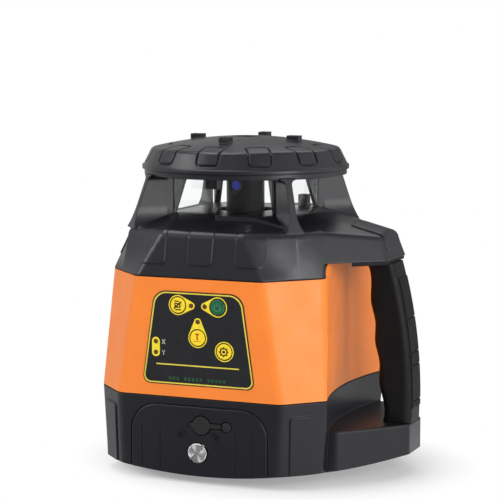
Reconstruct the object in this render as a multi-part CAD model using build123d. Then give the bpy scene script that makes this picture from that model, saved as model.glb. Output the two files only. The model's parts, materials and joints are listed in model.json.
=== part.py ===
from build123d import *
import os
from math import cos, radians, sin, sqrt

# Rotary laser level: octagonal housing, rotor lantern, side handle and self-levelling laser head.
# Millimetres, +Z up, keypad towards -Y, handle towards +X.
# The origin is on the rotor axis, on the surface that the feet stand on.

# Housing heights, from the bottom up
FOOT_PROUD = 1.0
BASE_HEIGHT = 51.5
BODY_HEIGHT = 72.5
COVER_HEIGHT = 26.5
SLOPE_HEIGHT = 8.5
LANTERN_HEIGHT = 22.8
RING_HEIGHT = 3.4
GASKET = 0.6

# Plan of the octagon: half depth, and at each level the half width and half width of the front flat
HALF_DEPTH = 75.75
BOTTOM_HALF = 71.5
BOTTOM_FLAT = 50.5
WAIST_HALF = 75.1
WAIST_FLAT = 52.7
TOP_HALF = 70.0
TOP_FLAT = 40.8
SILL_HALF = 41.0
SILL_FLAT = 26.0
EDGE_RADIUS = 9.0
BASE_WALL = 3.0
BODY_WALL = 2.5
COVER_WALL = 2.5

# Underside of the base: flat in the middle, then rising like a shallow cone
FLAT_RADIUS = 62.0
CONE_SLOPE = 0.26
BASE_FLOOR = 4.0

# Raised panels on the corner faces of the base
CORNER_PAD_SHARE = 0.56
CORNER_PAD_EDGE = 6.5
CORNER_PAD_HEIGHT = 43.0
CORNER_PAD_ROUND = 2.5

# Hand recess, hollowed by a large upright cylinder, and the handle's foot and upper arm
RECESS_X = 66.3
RECESS_RADIUS = 190.0
FOOT_TOP = 33.0
FOOT_ROOT_X = 79.0
FOOT_ROOT_Y = 50.0
FOOT_NOSE_X = 112.8
FOOT_NOSE_Y = 12.0
FOOT_EDGE_RADIUS = 4.0
FOOT_TOP_ROUND = 1.2
ARM_DROP = 8.3
ARM_ROOT_X = 68.0
ARM_ROOT_Y = 45.0
ARM_TAIL = 7.0
ARM_NOSE_X = 100.0
ARM_NOSE_Y = 18.5
ARM_SIDE_LEAN = 0.36
ARM_ROOF_FALL = 0.15
ARM_EDGE_DROP = 4.0
ARM_NOSE_LEAN = 6.2
ARM_PAD_HALF = 13.0
ARM_PAD_START = 34.0
ARM_PAD_RISE = 6.0
ARM_ROUND = 5.0
ARCH_EDGE = 0.5
ARCH_ROUND = 7.5

# Grip between the foot and the arm
GRIP_HALF = 12.0
GRIP_TOP_OUTER = 101.4
GRIP_TOP_INNER = 84.0
GRIP_BOTTOM_INNER = 95.3
GRIP_BULGE = 4.0
GRIP_WAVE = 0.7
GRIP_FINGERS = 4
GRIP_EDGE_RADIUS = 5.0
PLATE_THICK = 2.4
PLATE_INSET = 1.2
PLATE_START_X = 82.0
PAD_THICK = 1.8
PAD_PROUD = 0.4
PAD_HALF = 8.0
PAD_END = 9.0
PAD_LINES = [13.0, 35.0, 43.0, 64.0]
PAD_LINE_WIDTH = 0.9
PAD_LINE_DEPTH = 0.6

# Cover details
PANEL_LEAN = 5.8
ARM_WALL_LEAN = 3.6
SHOULDER_ROUND = 6.0
RIDGE_RADIUS = 77.6
PANEL_FLAT = 25.0
SIDE_PANEL_FLAT = 26.0
ARM_WALL_FLAT = 38.0
PAD_RAISE = 0.8
PAD_BOTTOM = 7.5
PAD_TOP = 28.5
PAD_CENTRE_HALF = 8.0
PAD_OUTER_INSIDE = 22.6
PAD_OUTER_OUTSIDE = 40.0
PAD_CORNER = 2.5
FLARE_HALF = 8.0
FLARE_HEIGHT = 13.0

# Rotor guard: four radial fins under a ring
FIN_THICK = 4.0
FIN_PROUD = 1.6
FIN_TOP_ROUND = 3.0
FIN_DEPTH = 26.0
FIN_LEAN = 0.36
RING_RADIUS = 63.6
RING_BORE = 34.0
PANE_THICK = 1.6
PANE_GAP = 0.15
PANE_RADIUS = 37.0
SENSOR_X = 26.5
SENSOR_WIDTH = 6.0
SENSOR_HEIGHT = 7.4
HOOD_X = 31.0
HOOD_WIDTH = 8.0
HOOD_HEIGHT = 13.0
ROOF_HOLE = 18.5

# Cap
CAP_RADIUS = 65.0
CAP_LIP = 2.3
CAP_LIP_PROUD = 0.8
CAP_SIDE = 12.8
CAP_SHOULDER = 59.0
CAP_CROWN = 7.0
CAP_ROUND = 3.6
CAP_WALL = 2.6
APERTURE_RADIUS = 8.4
APERTURE_RIM = 1.6
APERTURE_SINK = 3.2
APERTURE_GLASS = 1.2
PLAQUES = 12
PLAQUE_WIDTH = 15.0
PLAQUE_INNER = 46.0
PLAQUE_FOOT = 4.2
PLAQUE_ROUND = 3.0
MOAT_WIDTH = 1.3
MOAT_END = 2.2
MOAT_DEPTH = 1.0
LUG_RADIUS = 32.5
LUG_WIDTH = 6.0
LUG_DEPTH = 8.0
LUG_PROUD = 0.8
LUG_ROOT = 4.0
LUG_GROOVES = 2
LUG_GROOVE = 0.9
LUG_GROOVE_DEPTH = 1.4
CAP_SLOTS = [(-24.0, 9.0), (17.5, 2.0), (4.0, -26.0)]
CAP_SLOT_LENGTH = 7.0
CAP_SLOT_WIDTH = 1.2

# Self-levelling head, hung under the sill
PIVOT_DROP = 24.0
GIMBAL_INNER = 36.0
GIMBAL_WALL = 6.0
GIMBAL_HEIGHT = 10.0
PIN_RADIUS = 2.0
PIN_GRIP = 5.0
RUN_FIT = 0.05
SEAT_FIT = 0.02
TILT_LIMIT = 5.0
CHASSIS_DROP = 45.0
CHASSIS_THICK = 3.0
CHASSIS_BORE = 45.0
CHASSIS_RADIUS = 61.0
POST_GAP = 0.5
POST_THICK = 6.0
POST_WIDTH = 14.0
BOSS_RADIUS = 4.0
BOSS_PLACE = 55.0
BARREL_RADIUS = 11.0
BARREL_BORE = 7.5
BARREL_BELOW = 44.0
BARREL_ABOVE = 5.0
FLANGE_THICK = 3.0
FLANGE_RADIUS = 17.0
SPIGOT_RADIUS = 5.0
SPIGOT_BORE = 3.5
SPIGOT_LENGTH = 19.0
ARM_WIDTH = 10.0
ARM_GAP = 3.0
DIODE_LENGTH = 16.0
DIODE_PROUD = 4.0
SINK_RADIUS = 15.0
SINK_HEIGHT = 11.0
SINK_FINS = 4
LENS_DROP = 16.0
LENS_EDGE = 3.0
LENS_CURVE = 24.0

# Rotor, its belt drive and its optics
ROTOR_AZIMUTH = -12.0
ROTOR_RADIUS = 12.0
ROTOR_HUB = 10.5
ROTOR_TOP_ROOM = 2.2
ROTOR_GAP = 1.0
BEARING_RADIUS = 8.45
BEARING_HEIGHT = 4.0
BEARING_SPAN = 12.0
BEAM_RADIUS = 3.6
PULLEY_HEIGHT = 6.0
PULLEY_FLANGE = 1.4
PULLEY_RADIUS = 15.0
GROOVE_DEPTH = 1.7
ENCODER_RADIUS = 17.0
ENCODER_THICK = 1.0
PRISM_ROOM = 13.0
PRISM_SIZE = 11.0
PRISM_RADIUS = 9.6
EXIT_RADIUS = 4.9
EXIT_THICK = 1.2
MOTOR_PLACE = 26.0
MOTOR_RADIUS = 7.0
MOTOR_LENGTH = 18.0
MOTOR_SHAFT = 1.0
MOTOR_PULLEY_RADIUS = 6.0
BELT_THICK = 1.2
BELT_GAP = 0.3
BELT_HEIGHT = 2.6

# Levelling drives: motor, lead screw and travelling nut
DRIVE_X_PLACE = 48.0
DRIVE_Y_PLACE = 24.0
DRIVE_RADIUS = 7.0
DRIVE_LENGTH = 8.0
DRIVE_BRACKET = 3.0
DRIVE_SHELF_DROP = 18.0
SCREW_RADIUS = 1.5
SCREW_TOP = 10.0
NUT_WAIST = 3.2
NUT_FLANGE = 5.0
NUT_LIP = 1.2
LUG_THICK = 2.0
LUG_PLAY = 1.6
SLOT_PLAY = 0.4
VIAL_RADIUS = 3.5
VIAL_LENGTH = 24.0
VIAL_PLACE = 17.0

# Keypad
KEYPAD_RISE = 7.3
KEYPAD_HEIGHT = 56.8
KEYPAD_BOTTOM_HALF = 36.6
KEYPAD_TOP_HALF = 28.5
KEYPAD_BOTTOM_ROUND = 4.5
KEYPAD_TOP_ROUND = 9.0
KEYPAD_THICK = 1.6
KEYPAD_PROUD = 0.35
KEYPAD_LEDGE = 2.0
KEYPAD_GAP = 0.15
KEY_RADIUS = 4.7
KEY_GAP = 0.3
KEY_PROUD = 0.8
KEY_FLANGE = 1.0
KEY_FLANGE_THICK = 0.8
KEY_REST = 0.2
KEY_TRAVEL = 0.6
KEY_SPARE = 0.2
BOARD_THICK = 1.6
BOARD_BOSS = 3.0
LED_RADIUS = 1.4
LED_GAP = 0.15
LED_PROUD = 0.25
KEY_PLACES = {"mode_key": (-12.8, 48.6), "power_key": (13.0, 48.6)}
KEY_PLACES |= {"tilt_key": (0.0, 29.4), "speed_key": (17.2, 22.1)}
LED_PLACES = [(-4.2, 48.6), (4.6, 48.6), (0.0, 39.1), (-27.5, 25.8), (-27.5, 19.2)]

# Battery drawer in the base
DOOR_HALF = 44.5
DOOR_TOP = 47.2
DOOR_ROUND = 17.0
DOOR_THICK = 5.5
DOOR_PROUD = 0.4
DOOR_GAP = 0.35
DOOR_GASKET = 0.7
MOVE_GAP = 0.3
DOOR_GASKET_WIDTH = 1.0
FRAME_DEPTH = 3.5
FRAME_EDGE = 4.0
BAY_HALF = 36.0
BAY_BOTTOM = 25.0
BAY_TOP = 43.0
BAY_GAP = 0.5
TRAY_WALL = 1.6
CELL_RADIUS = 7.25
CELL_LENGTH = 50.0
CELL_GAP = 0.4
CELLS = 4
CONTACT_THICK = 0.8
LOCK_HEIGHT = 19.2
LOCK_HEAD = 6.2
LOCK_HEAD_PROUD = 2.0
LOCK_RECESS = 1.5
LOCK_SHANK = 3.0
LOCK_LENGTH = 13.0
LOCK_SLOT = 2.0
LOCK_SLOT_DEPTH = 2.2
LOCK_EDGE = 0.9
LOCK_TURN = 38.0
PLUG_X = 2.1
PLUG_Z = 35.9
PLUG_RADIUS = 5.6
PLUG_THICK = 1.6
PLUG_STUB = 3.4
PLUG_STUB_LENGTH = 3.0
PLUG_HOLE_GAP = 0.7
PLUG_ANCHOR_X = 18.4
PLUG_ANCHOR_RADIUS = 3.0
PLUG_STRAP = 3.0
PLUG_STRAP_THICK = 0.8
PLUG_HINGE_ROOM = 1.2
PLUG_TAB = 7.4
PLUG_POCKET = 1.4
PLUG_MARGIN = 0.6
DOOR_EDGE_ROUND = 1.1
DOOR_LINES = [-37.0, -25.0, 24.3, 35.2]
DOOR_LINE_WIDTH = 0.6
DOOR_LINE_DEPTH = 0.3
DOOR_LINE_TOP = 33.0
JACK_RADIUS = 4.6
JACK_LENGTH = 8.0
JACK_ROOM = 3.5
JACK_BORE = 2.8

# Fastenings, feet and boards
THREAD_RADIUS = 7.94
INSERT_RADIUS = 12.0
INSERT_HEIGHT = 14.0
INSERT_PLATE = 20.0
BOSS_WALL = 4.0
PAD_RADIUS = 7.0
PAD_PLACE = 51.0
COLUMN_INSET = 7.3
COLUMN_RADIUS = 5.0
COLUMN_RISE = 18.0
CASE_SCREW = 1.7
CASE_HEAD = 3.2
CASE_HEAD_HEIGHT = 2.6
SCREW_GAP = 0.2
HEAD_SINK = 9.0
SMALL_SCREW = 1.2
SMALL_HEAD = 2.2
SMALL_HEAD_HEIGHT = 1.6
STANDOFF = 4.0
STANDOFF_RADIUS = 2.5
MAIN_BOARD_X = 74.0
MAIN_BOARD_Y = 52.0

# Levels worked out from the heights
Z_BASE = FOOT_PROUD
Z_BODY = Z_BASE + BASE_HEIGHT
Z_COVER = Z_BODY + BODY_HEIGHT
Z_SHOULDER = Z_COVER + COVER_HEIGHT
Z_SILL = Z_SHOULDER + SLOPE_HEIGHT
Z_RING = Z_SILL + LANTERN_HEIGHT
Z_CAP = Z_RING + RING_HEIGHT
Z_ARM = Z_COVER + ARM_DROP
Z_PIVOT = Z_SILL - PIVOT_DROP
Z_CHASSIS = Z_SILL - CHASSIS_DROP
Z_FLANGE = Z_PIVOT + BARREL_ABOVE
Z_PULLEY = Z_FLANGE + FLANGE_THICK + ROTOR_GAP
Z_ROTOR_TOP = Z_CAP - ROTOR_TOP_ROOM
Z_PRISM = Z_ROTOR_TOP - 2.0 - PRISM_ROOM
Z_DRIVE_SHELF = Z_PIVOT - DRIVE_SHELF_DROP
KEYPAD_Z = Z_BODY + KEYPAD_RISE
FRONT = -HALF_DEPTH
DOOR_BACK = FRONT - DOOR_PROUD + DOOR_THICK
FRAME_FRONT = DOOR_BACK + DOOR_GASKET + MOVE_GAP
FRAME_BACK = FRAME_FRONT + FRAME_DEPTH
TRAY_FRONT_ROOM = JACK_LENGTH + JACK_ROOM
CELL_SPACE = CELL_LENGTH + 2 * (CELL_GAP + CONTACT_THICK + TRAY_WALL)
BAY_BACK = DOOR_BACK + TRAY_FRONT_ROOM + CELL_SPACE + BAY_GAP
PANEL_FRONT = FRONT - KEYPAD_PROUD
PANEL_BACK = PANEL_FRONT + KEYPAD_THICK
KEY_BACK = PANEL_BACK + KEY_REST + KEY_FLANGE_THICK
BOARD_FRONT = KEY_BACK + KEY_TRAVEL + KEY_SPARE
COLUMN_PLACE = (WAIST_FLAT + HALF_DEPTH) / sqrt(2) - COLUMN_INSET
DIAGONALS = [45, 135, 225, 315]
QUARTERS = [0, 90, 180, 270]
REACH = 400.0


def section(flat, half, depth, inset=0.0):
    """Corner points of an octagon with 45 degree corners, drawn in by inset on every side."""
    flat = flat - inset * (sqrt(2) - 1)
    half = half - inset
    depth = depth - inset
    leg = half - flat
    side = depth - leg
    right = [(flat, -depth), (half, -side), (half, side), (flat, depth)]
    left = [(-x, -y) for x, y in right]
    return right + left


def bottom_section(inset=0.0):
    return section(BOTTOM_FLAT, BOTTOM_HALF, HALF_DEPTH, inset)


def waist_section(inset=0.0):
    return section(WAIST_FLAT, WAIST_HALF, HALF_DEPTH, inset)


def top_section(inset=0.0):
    return section(TOP_FLAT, TOP_HALF, HALF_DEPTH, inset)


def outline(points, z=0.0):
    return Wire.make_polygon([(x, y, z) for x, y in points])


def prism(points, z_low, z_high):
    """Upright prism over a polygon."""
    return extrude(Face(outline(points, z_low)), amount=z_high - z_low, dir=(0, 0, 1))


def frustum(points_low, z_low, points_high, z_high):
    """Solid between two polygons with the same number of corners."""
    return Part() + Solid.make_loft([outline(points_low, z_low), outline(points_high, z_high)], ruled=True)


def rod(radius, z_low, z_high, x=0.0, y=0.0):
    """Upright cylinder."""
    return Pos(x, y, (z_low + z_high) / 2) * Cylinder(radius, z_high - z_low)


def rod_x(radius, x_low, x_high, y, z):
    return Pos((x_low + x_high) / 2, y, z) * Rot(0, 90, 0) * Cylinder(radius, x_high - x_low)


def rod_y(radius, y_low, y_high, x, z):
    return Pos(x, (y_low + y_high) / 2, z) * Rot(90, 0, 0) * Cylinder(radius, y_high - y_low)


def block(x_low, x_high, y_low, y_high, z_low, z_high):
    size = Box(x_high - x_low, y_high - y_low, z_high - z_low)
    return Pos((x_low + x_high) / 2, (y_low + y_high) / 2, (z_low + z_high) / 2) * size


def spin(points):
    """Solid of revolution about the rotor axis from (radius, height) points."""
    return revolve(Face(Wire.make_polygon([(r, 0, z) for r, z in points])), Axis.Z)


def front_plate(sketch, y_front, y_back):
    """Plate between two planes of constant Y; the sketch's x and y become X and Z."""
    return extrude(Plane((0, y_back, 0), x_dir=(1, 0, 0), z_dir=(0, -1, 0)) * sketch, amount=y_back - y_front)


def below(solid, corner, along, across):
    """The part of a solid under the plane through three points, given anticlockwise from above."""
    origin = Vector(*corner)
    normal = (Vector(*along) - origin).cross(Vector(*across) - origin)
    return split(solid, bisect_by=Plane(origin, z_dir=normal), keep=Keep.BOTTOM)


def on_diagonal(place, angle):
    return place * cos(radians(angle)), place * sin(radians(angle))


def recess(extra, z_low, z_high):
    """Upright cylinder that hollows the hand recess; extra makes its wall."""
    return rod(RECESS_RADIUS + extra, z_low, z_high, RECESS_X + RECESS_RADIUS)


def underside(rise):
    """Everything under the base's conical underside, lifted by rise."""
    low = Z_BASE - FOOT_PROUD - 1
    edge = Z_BASE + rise + CONE_SLOPE * (REACH - FLAT_RADIUS)
    return spin([(0, low), (REACH, low), (REACH, edge), (FLAT_RADIUS, Z_BASE + rise), (0, Z_BASE + rise)])


def foot_form():
    """Foot that carries the lower end of the grip."""
    points = [(RECESS_X, -FOOT_ROOT_Y + 1), (FOOT_ROOT_X, -FOOT_ROOT_Y), (FOOT_NOSE_X, -FOOT_NOSE_Y)]
    points = points + [(x, -y) for x, y in reversed(points)]
    solid = prism(points, Z_BASE, FOOT_TOP)
    edges = solid.edges().filter_by(Axis.Z).filter_by(lambda e: e.center().X > RECESS_X + 1)
    solid = fillet(edges, FOOT_EDGE_RADIUS)
    rim = solid.edges().group_by(Axis.Z)[-1].filter_by(lambda e: e.center().X > RECESS_X + 1)
    return fillet(rim, FOOT_TOP_ROUND)


def door_sketch(grow):
    """Arched door outline in X and Z, open at the bottom edge of the base."""
    half = DOOR_HALF + grow
    height = DOOR_TOP + grow - Z_BASE
    shape = Pos(0, Z_BASE + height / 2) * Rectangle(2 * half, height)
    tops = shape.vertices().group_by(Axis.Y)[-1]
    return fillet(tops, DOOR_ROUND + grow)


def corner_pads():
    """Raised panels on the four slanting corner faces of the base."""
    raised = base_outside(PAD_RAISE) - underside(0.0)
    length = sqrt(2) * (WAIST_HALF - WAIST_FLAT)
    width = length * CORNER_PAD_SHARE
    pads = []
    for mirror_x in (1, -1):
        for mirror_y in (1, -1):
            place = Vector(mirror_x * WAIST_FLAT, mirror_y * HALF_DEPTH)
            step = Vector(mirror_x, -mirror_y).normalized()
            centre = place + step * (width / 2 + CORNER_PAD_EDGE)
            angle = 45 if mirror_x * mirror_y < 0 else -45
            key = Box(width, width, CORNER_PAD_HEIGHT)
            key = fillet(key.edges().filter_by(Axis.Y).group_by(Axis.Z)[-1], CORNER_PAD_ROUND)
            key = Pos(centre.X, centre.Y, Z_BASE + CORNER_PAD_HEIGHT / 2) * Rot(0, 0, angle) * key
            pads.append(raised & key)
    return pads


def base_outside(grow):
    return frustum(bottom_section(-grow), Z_BASE, waist_section(-grow), Z_BODY - GASKET)


def base_housing():
    outer = base_outside(0.0)
    upright = outer.edges().filter_by(lambda e: abs(e.tangent_at(0.5).Z) > 0.9)
    outer = fillet(upright, EDGE_RADIUS)
    outer = outer + foot_form() - underside(0.0) - recess(0.0, FOOT_TOP, Z_BODY)
    inside = frustum(bottom_section(BASE_WALL), Z_BASE, waist_section(BASE_WALL), Z_BODY - GASKET)
    inside = inside - underside(BASE_FLOOR) - recess(BASE_WALL, Z_BASE, Z_BODY)
    frame = front_plate(door_sketch(FRAME_EDGE), FRONT + BASE_WALL - 1, FRAME_BACK) & outer
    bay = block(-BAY_HALF - BASE_WALL, BAY_HALF + BASE_WALL, FRAME_BACK - 1, BAY_BACK + BASE_WALL,
                BAY_BOTTOM - BASE_WALL, BAY_TOP + BASE_WALL)
    boss = rod(INSERT_RADIUS + BOSS_WALL, Z_BASE, INSERT_HEIGHT + BOSS_WALL)
    lock = rod_y(LOCK_SHANK + BOSS_WALL, FRAME_BACK - 1, DOOR_BACK + LOCK_LENGTH + BOSS_WALL, 0, LOCK_HEIGHT)
    columns = [rod(COLUMN_RADIUS, Z_BASE + BASE_FLOOR, Z_BODY - GASKET, *on_diagonal(COLUMN_PLACE, a))
               for a in DIAGONALS]
    columns = [(column & outer) - underside(0.0) for column in columns]
    body = outer + corner_pads() - inside + frame + bay + boss + lock + columns
    body = body - front_plate(door_sketch(DOOR_GAP), FRONT - REACH, FRAME_FRONT)
    body = body - block(-BAY_HALF, BAY_HALF, FRAME_FRONT - 1, BAY_BACK, BAY_BOTTOM, BAY_TOP)
    body = body - rod(INSERT_RADIUS + RUN_FIT, 0, INSERT_HEIGHT)
    lock_end = DOOR_BACK + LOCK_LENGTH + SCREW_GAP
    body = body - rod_y(LOCK_SHANK + RUN_FIT, FRAME_FRONT - 1, lock_end, 0, LOCK_HEIGHT)
    for angle in DIAGONALS:
        x, y = on_diagonal(COLUMN_PLACE, angle)
        body = body - rod(CASE_SCREW + SCREW_GAP, 0, Z_BODY, x, y)
        body = body - rod(CASE_HEAD + SCREW_GAP, 0, Z_BASE + HEAD_SINK + CASE_HEAD_HEIGHT, x, y)
    for x, y in grip_screw_places():
        body = body - rod(CASE_SCREW + SCREW_GAP, 0, FOOT_TOP, x, y)
        body = body - rod(CASE_HEAD + SCREW_GAP, 0, FOOT_TOP - 2 * CASE_HEAD_HEIGHT, x, y)
    for x, y in board_posts():
        body = body + rod(STANDOFF_RADIUS, BAY_TOP + BASE_WALL - 1, BAY_TOP + BASE_WALL + STANDOFF, x, y)
    return body


def board_posts():
    """Four posts of the main board, on the roof of the battery bay."""
    middle = (FRAME_BACK + BAY_BACK) / 2
    x = BAY_HALF - STANDOFF_RADIUS
    y = MAIN_BOARD_Y / 2 - STANDOFF_RADIUS
    return [(x, middle - y), (x, middle + y), (-x, middle - y), (-x, middle + y)]


def grip_screw_places():
    """Two screws up through the foot into the grip."""
    middle = (FOOT_NOSE_X + GRIP_BOTTOM_INNER) / 2
    return [(middle, -GRIP_HALF / 2), (middle, GRIP_HALF / 2)]


def seam_ring(points_outer, points_inner, z_low):
    ring = prism(points_outer, z_low, z_low + GASKET) - prism(points_inner, z_low, z_low + GASKET)
    wall = recess(BODY_WALL, z_low, z_low + GASKET) - recess(0.8, z_low, z_low + GASKET)
    wall = wall & prism(points_outer, z_low, z_low + GASKET)
    ring = ring - recess(0.8, z_low, z_low + GASKET)
    return ring + wall


def base_gasket():
    return seam_ring(waist_section(0.8), waist_section(BODY_WALL), Z_BODY - GASKET)


def cover_gasket():
    z = Z_COVER - GASKET
    return seam_ring(top_section(0.8), top_section(BODY_WALL), z) - recess(BODY_WALL + SEAT_FIT, z, Z_COVER)


def keypad_sketch(shrink):
    """Keypad outline in X and Z: wider at the bottom, with large round corners at the top."""
    low = KEYPAD_Z + shrink
    high = KEYPAD_Z + KEYPAD_HEIGHT - shrink
    wide = KEYPAD_BOTTOM_HALF - shrink
    narrow = KEYPAD_TOP_HALF - shrink
    shape = make_face(Polyline((-wide, low), (wide, low), (narrow, high), (-narrow, high), close=True))
    levels = shape.vertices().group_by(Axis.Y)
    shape = fillet(levels[0], KEYPAD_BOTTOM_ROUND)
    return fillet(shape.vertices().group_by(Axis.Y)[-1], KEYPAD_TOP_ROUND)


def body_shell():
    top = Z_COVER - GASKET
    outer = frustum(waist_section(), Z_BODY, top_section(), top)
    upright = outer.edges().filter_by(lambda e: abs(e.tangent_at(0.5).Z) > 0.9)
    outer = fillet(upright, EDGE_RADIUS) - recess(0.0, Z_BODY, top)
    inside = frustum(waist_section(BODY_WALL), Z_BODY, top_section(BODY_WALL), top)
    inside = inside - recess(BODY_WALL, Z_BODY, top)
    tongue = recess(BODY_WALL, top, Z_ARM - SCREW_GAP) - recess(0.0, top, Z_ARM - SCREW_GAP)
    tongue = tongue & prism(top_section(0.4), top, Z_ARM - SCREW_GAP) & arm_arch(SCREW_GAP, top)
    columns = [rod(COLUMN_RADIUS, Z_BODY, Z_BODY + COLUMN_RISE, *on_diagonal(COLUMN_PLACE, a)) & outer
               for a in DIAGONALS]
    shell = outer - inside + tongue + columns
    shell = shell - front_plate(keypad_sketch(-KEYPAD_GAP), FRONT - 1, PANEL_BACK)
    shell = shell - front_plate(keypad_sketch(KEYPAD_LEDGE), FRONT - 1, FRONT + BODY_WALL + 1)
    for angle in DIAGONALS:
        x, y = on_diagonal(COLUMN_PLACE, angle)
        shell = shell - rod(CASE_SCREW + SEAT_FIT, Z_BODY, Z_BODY + COLUMN_RISE - 2, x, y)
    for x, z in keypad_posts():
        shell = shell + rod_y(BOARD_BOSS / 2, FRONT + BODY_WALL - 1, BOARD_FRONT, x, z)
    return shell


def keypad_posts():
    """Posts behind the corners of the keypad window, which the keypad board is screwed to."""
    low = KEYPAD_Z + KEYPAD_LEDGE / 2
    high = KEYPAD_Z + KEYPAD_HEIGHT + BOARD_BOSS
    wide = KEYPAD_BOTTOM_HALF + BOARD_BOSS / 2
    narrow = KEYPAD_TOP_HALF - KEYPAD_TOP_ROUND
    return [(-wide, low), (wide, low), (-narrow, high), (narrow, high)]


def keypad_panel():
    panel = front_plate(keypad_sketch(0.0), PANEL_FRONT, PANEL_BACK)
    for x, rise in KEY_PLACES.values():
        panel = panel - rod_y(KEY_RADIUS + KEY_GAP, PANEL_FRONT - 1, PANEL_BACK + 1, x, KEYPAD_Z + rise)
    for x, rise in LED_PLACES:
        panel = panel - rod_y(LED_RADIUS + LED_GAP, PANEL_FRONT - 1, PANEL_BACK + 1, x, KEYPAD_Z + rise)
    return panel


def push_key(x, rise):
    """Domed key with a flange behind the panel that keeps it in."""
    z = KEYPAD_Z + rise
    cap = rod_y(KEY_RADIUS, PANEL_FRONT - KEY_PROUD, KEY_BACK, x, z)
    rim = cap.edges().sort_by(Axis.Y)[0]
    cap = fillet(rim, KEY_PROUD * 0.7)
    return cap + rod_y(KEY_RADIUS + KEY_FLANGE, PANEL_BACK + KEY_REST, KEY_BACK, x, z)


def indicator_leds():
    front = PANEL_FRONT - LED_PROUD
    return [rod_y(LED_RADIUS, front, BOARD_FRONT, x, KEYPAD_Z + rise) for x, rise in LED_PLACES]


def keypad_board():
    low = KEYPAD_Z
    high = KEYPAD_Z + KEYPAD_HEIGHT + BOARD_BOSS * 1.5
    wide = KEYPAD_BOTTOM_HALF + BOARD_BOSS
    narrow = KEYPAD_TOP_HALF
    shape = make_face(Polyline((-wide, low), (wide, low), (narrow, high), (-narrow, high), close=True))
    return front_plate(shape, BOARD_FRONT, BOARD_FRONT + BOARD_THICK)


def ridged_plan(flat, depth, ridge, half, side):
    """Right half of a plan whose corner faces have a ridge in the middle, anticlockwise from the front."""
    middle = ridge / sqrt(2)
    front = [(flat, -depth), (middle, -middle), (half, -side)]
    return front + [(x, -y) for x, y in reversed(front)]


def turned(points):
    return [(-x, -y) for x, y in points]


def seam_plan(grow):
    """Plan of the cover at its lower edge, where the ridges vanish."""
    spread = grow * (sqrt(2) - 1)
    side = HALF_DEPTH - TOP_HALF + TOP_FLAT + spread
    ridge = (TOP_FLAT + HALF_DEPTH) / sqrt(2) + grow
    right = ridged_plan(TOP_FLAT + spread, HALF_DEPTH + grow, ridge, TOP_HALF + grow, side)
    return right + turned(right)


def shoulder_plan(grow):
    """Plan of the cover at the shoulder, wider on the side of the arm."""
    depth = HALF_DEPTH - PANEL_LEAN + grow
    ridge = RIDGE_RADIUS + grow
    right = ridged_plan(PANEL_FLAT, depth, ridge, TOP_HALF - ARM_WALL_LEAN + grow, ARM_WALL_FLAT)
    left = ridged_plan(PANEL_FLAT, depth, ridge, TOP_HALF - PANEL_LEAN + grow, SIDE_PANEL_FLAT)
    return right + turned(left)


def sill_plan(grow):
    half = SILL_HALF + grow
    right = ridged_plan(SILL_FLAT, half, (SILL_FLAT + half) / sqrt(2), half, SILL_FLAT)
    return right + turned(right)


def arm_plan(grow):
    """Plan of the upper arm, from the rotor axis out to its nose."""
    tail = arm_point((ARM_ROOT_X, -ARM_ROOT_Y), -ARM_TAIL, 0.0)
    front = [tail, (ARM_NOSE_X, -ARM_NOSE_Y)]
    points = front + [(x, -y) for x, y in reversed(front)]
    return [(0, tail[1])] + [(x + grow, y) for x, y in points] + [(0, -tail[1])]


def arm_point(point, along, inward):
    """A point of the arm's front line moved along it towards the nose, and inward across it."""
    step_x = ARM_NOSE_X - ARM_ROOT_X
    step_y = ARM_ROOT_Y - ARM_NOSE_Y
    length = sqrt(step_x ** 2 + step_y ** 2)
    x = point[0] + (along * step_x - inward * step_y) / length
    y = point[1] + (along * step_y + inward * step_x) / length
    return x, y


def arm_arch(shrink, z_low):
    """Opening over the hand recess with rounded upper corners, where a tongue of the body stands."""
    half = ARM_ROOT_Y - ARCH_EDGE - shrink
    height = Z_ARM - shrink - z_low
    shape = Pos(0, z_low + height / 2) * Rectangle(2 * half, height)
    shape = fillet(shape.vertices().group_by(Axis.Y)[-1], ARCH_ROUND)
    return extrude(Plane((SILL_HALF, 0, 0), x_dir=(0, 1, 0), z_dir=(1, 0, 0)) * shape, amount=REACH)


def arm_form(grow):
    """Upper arm of the handle, reaching from the cover to the top of the grip."""
    roof = Z_SILL + grow
    fall = ARM_ROOF_FALL * (ARM_NOSE_X - SILL_HALF)
    edge_nose = roof - fall - ARM_EDGE_DROP
    root = (ARM_ROOT_X, -ARM_ROOT_Y)
    nose = (ARM_NOSE_X, -ARM_NOSE_Y)
    low_root = (*arm_point(root, 0.0, -grow), Z_ARM)
    low_nose = (*arm_point(nose, 0.0, -grow), Z_ARM)
    top_root = (*arm_point(root, 0.0, ARM_SIDE_LEAN * (Z_SHOULDER - Z_ARM) - grow), Z_SHOULDER + grow)
    top_nose = (*arm_point(nose, 0.0, ARM_SIDE_LEAN * (edge_nose - Z_ARM) - grow), edge_nose)
    inner = (SILL_HALF, -SILL_FLAT, roof)
    arm = prism(arm_plan(grow), Z_ARM, roof)
    for side in ("front", "back"):
        arm = below(arm, low_root, low_nose, top_root)
        arm = below(arm, inner, top_root, top_nose)
        arm = mirror(arm, about=Plane.XZ)
    nose_top = (ARM_NOSE_X - ARM_NOSE_LEAN + grow, 0, roof - fall)
    nose_low = (ARM_NOSE_X + grow, 0, Z_ARM)
    nose_side = (ARM_NOSE_X + grow, 1, Z_ARM)
    arm = below(arm, nose_top, nose_low, nose_side)
    outside = arm.edges().filter_by(lambda e: e.center().X > ARM_ROOT_X + 2 and e.center().Z > Z_ARM + 5)
    outside = outside.filter_by(lambda e: abs(e.center().Y) > 1)
    return fillet(outside, ARM_ROUND + grow)


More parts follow.
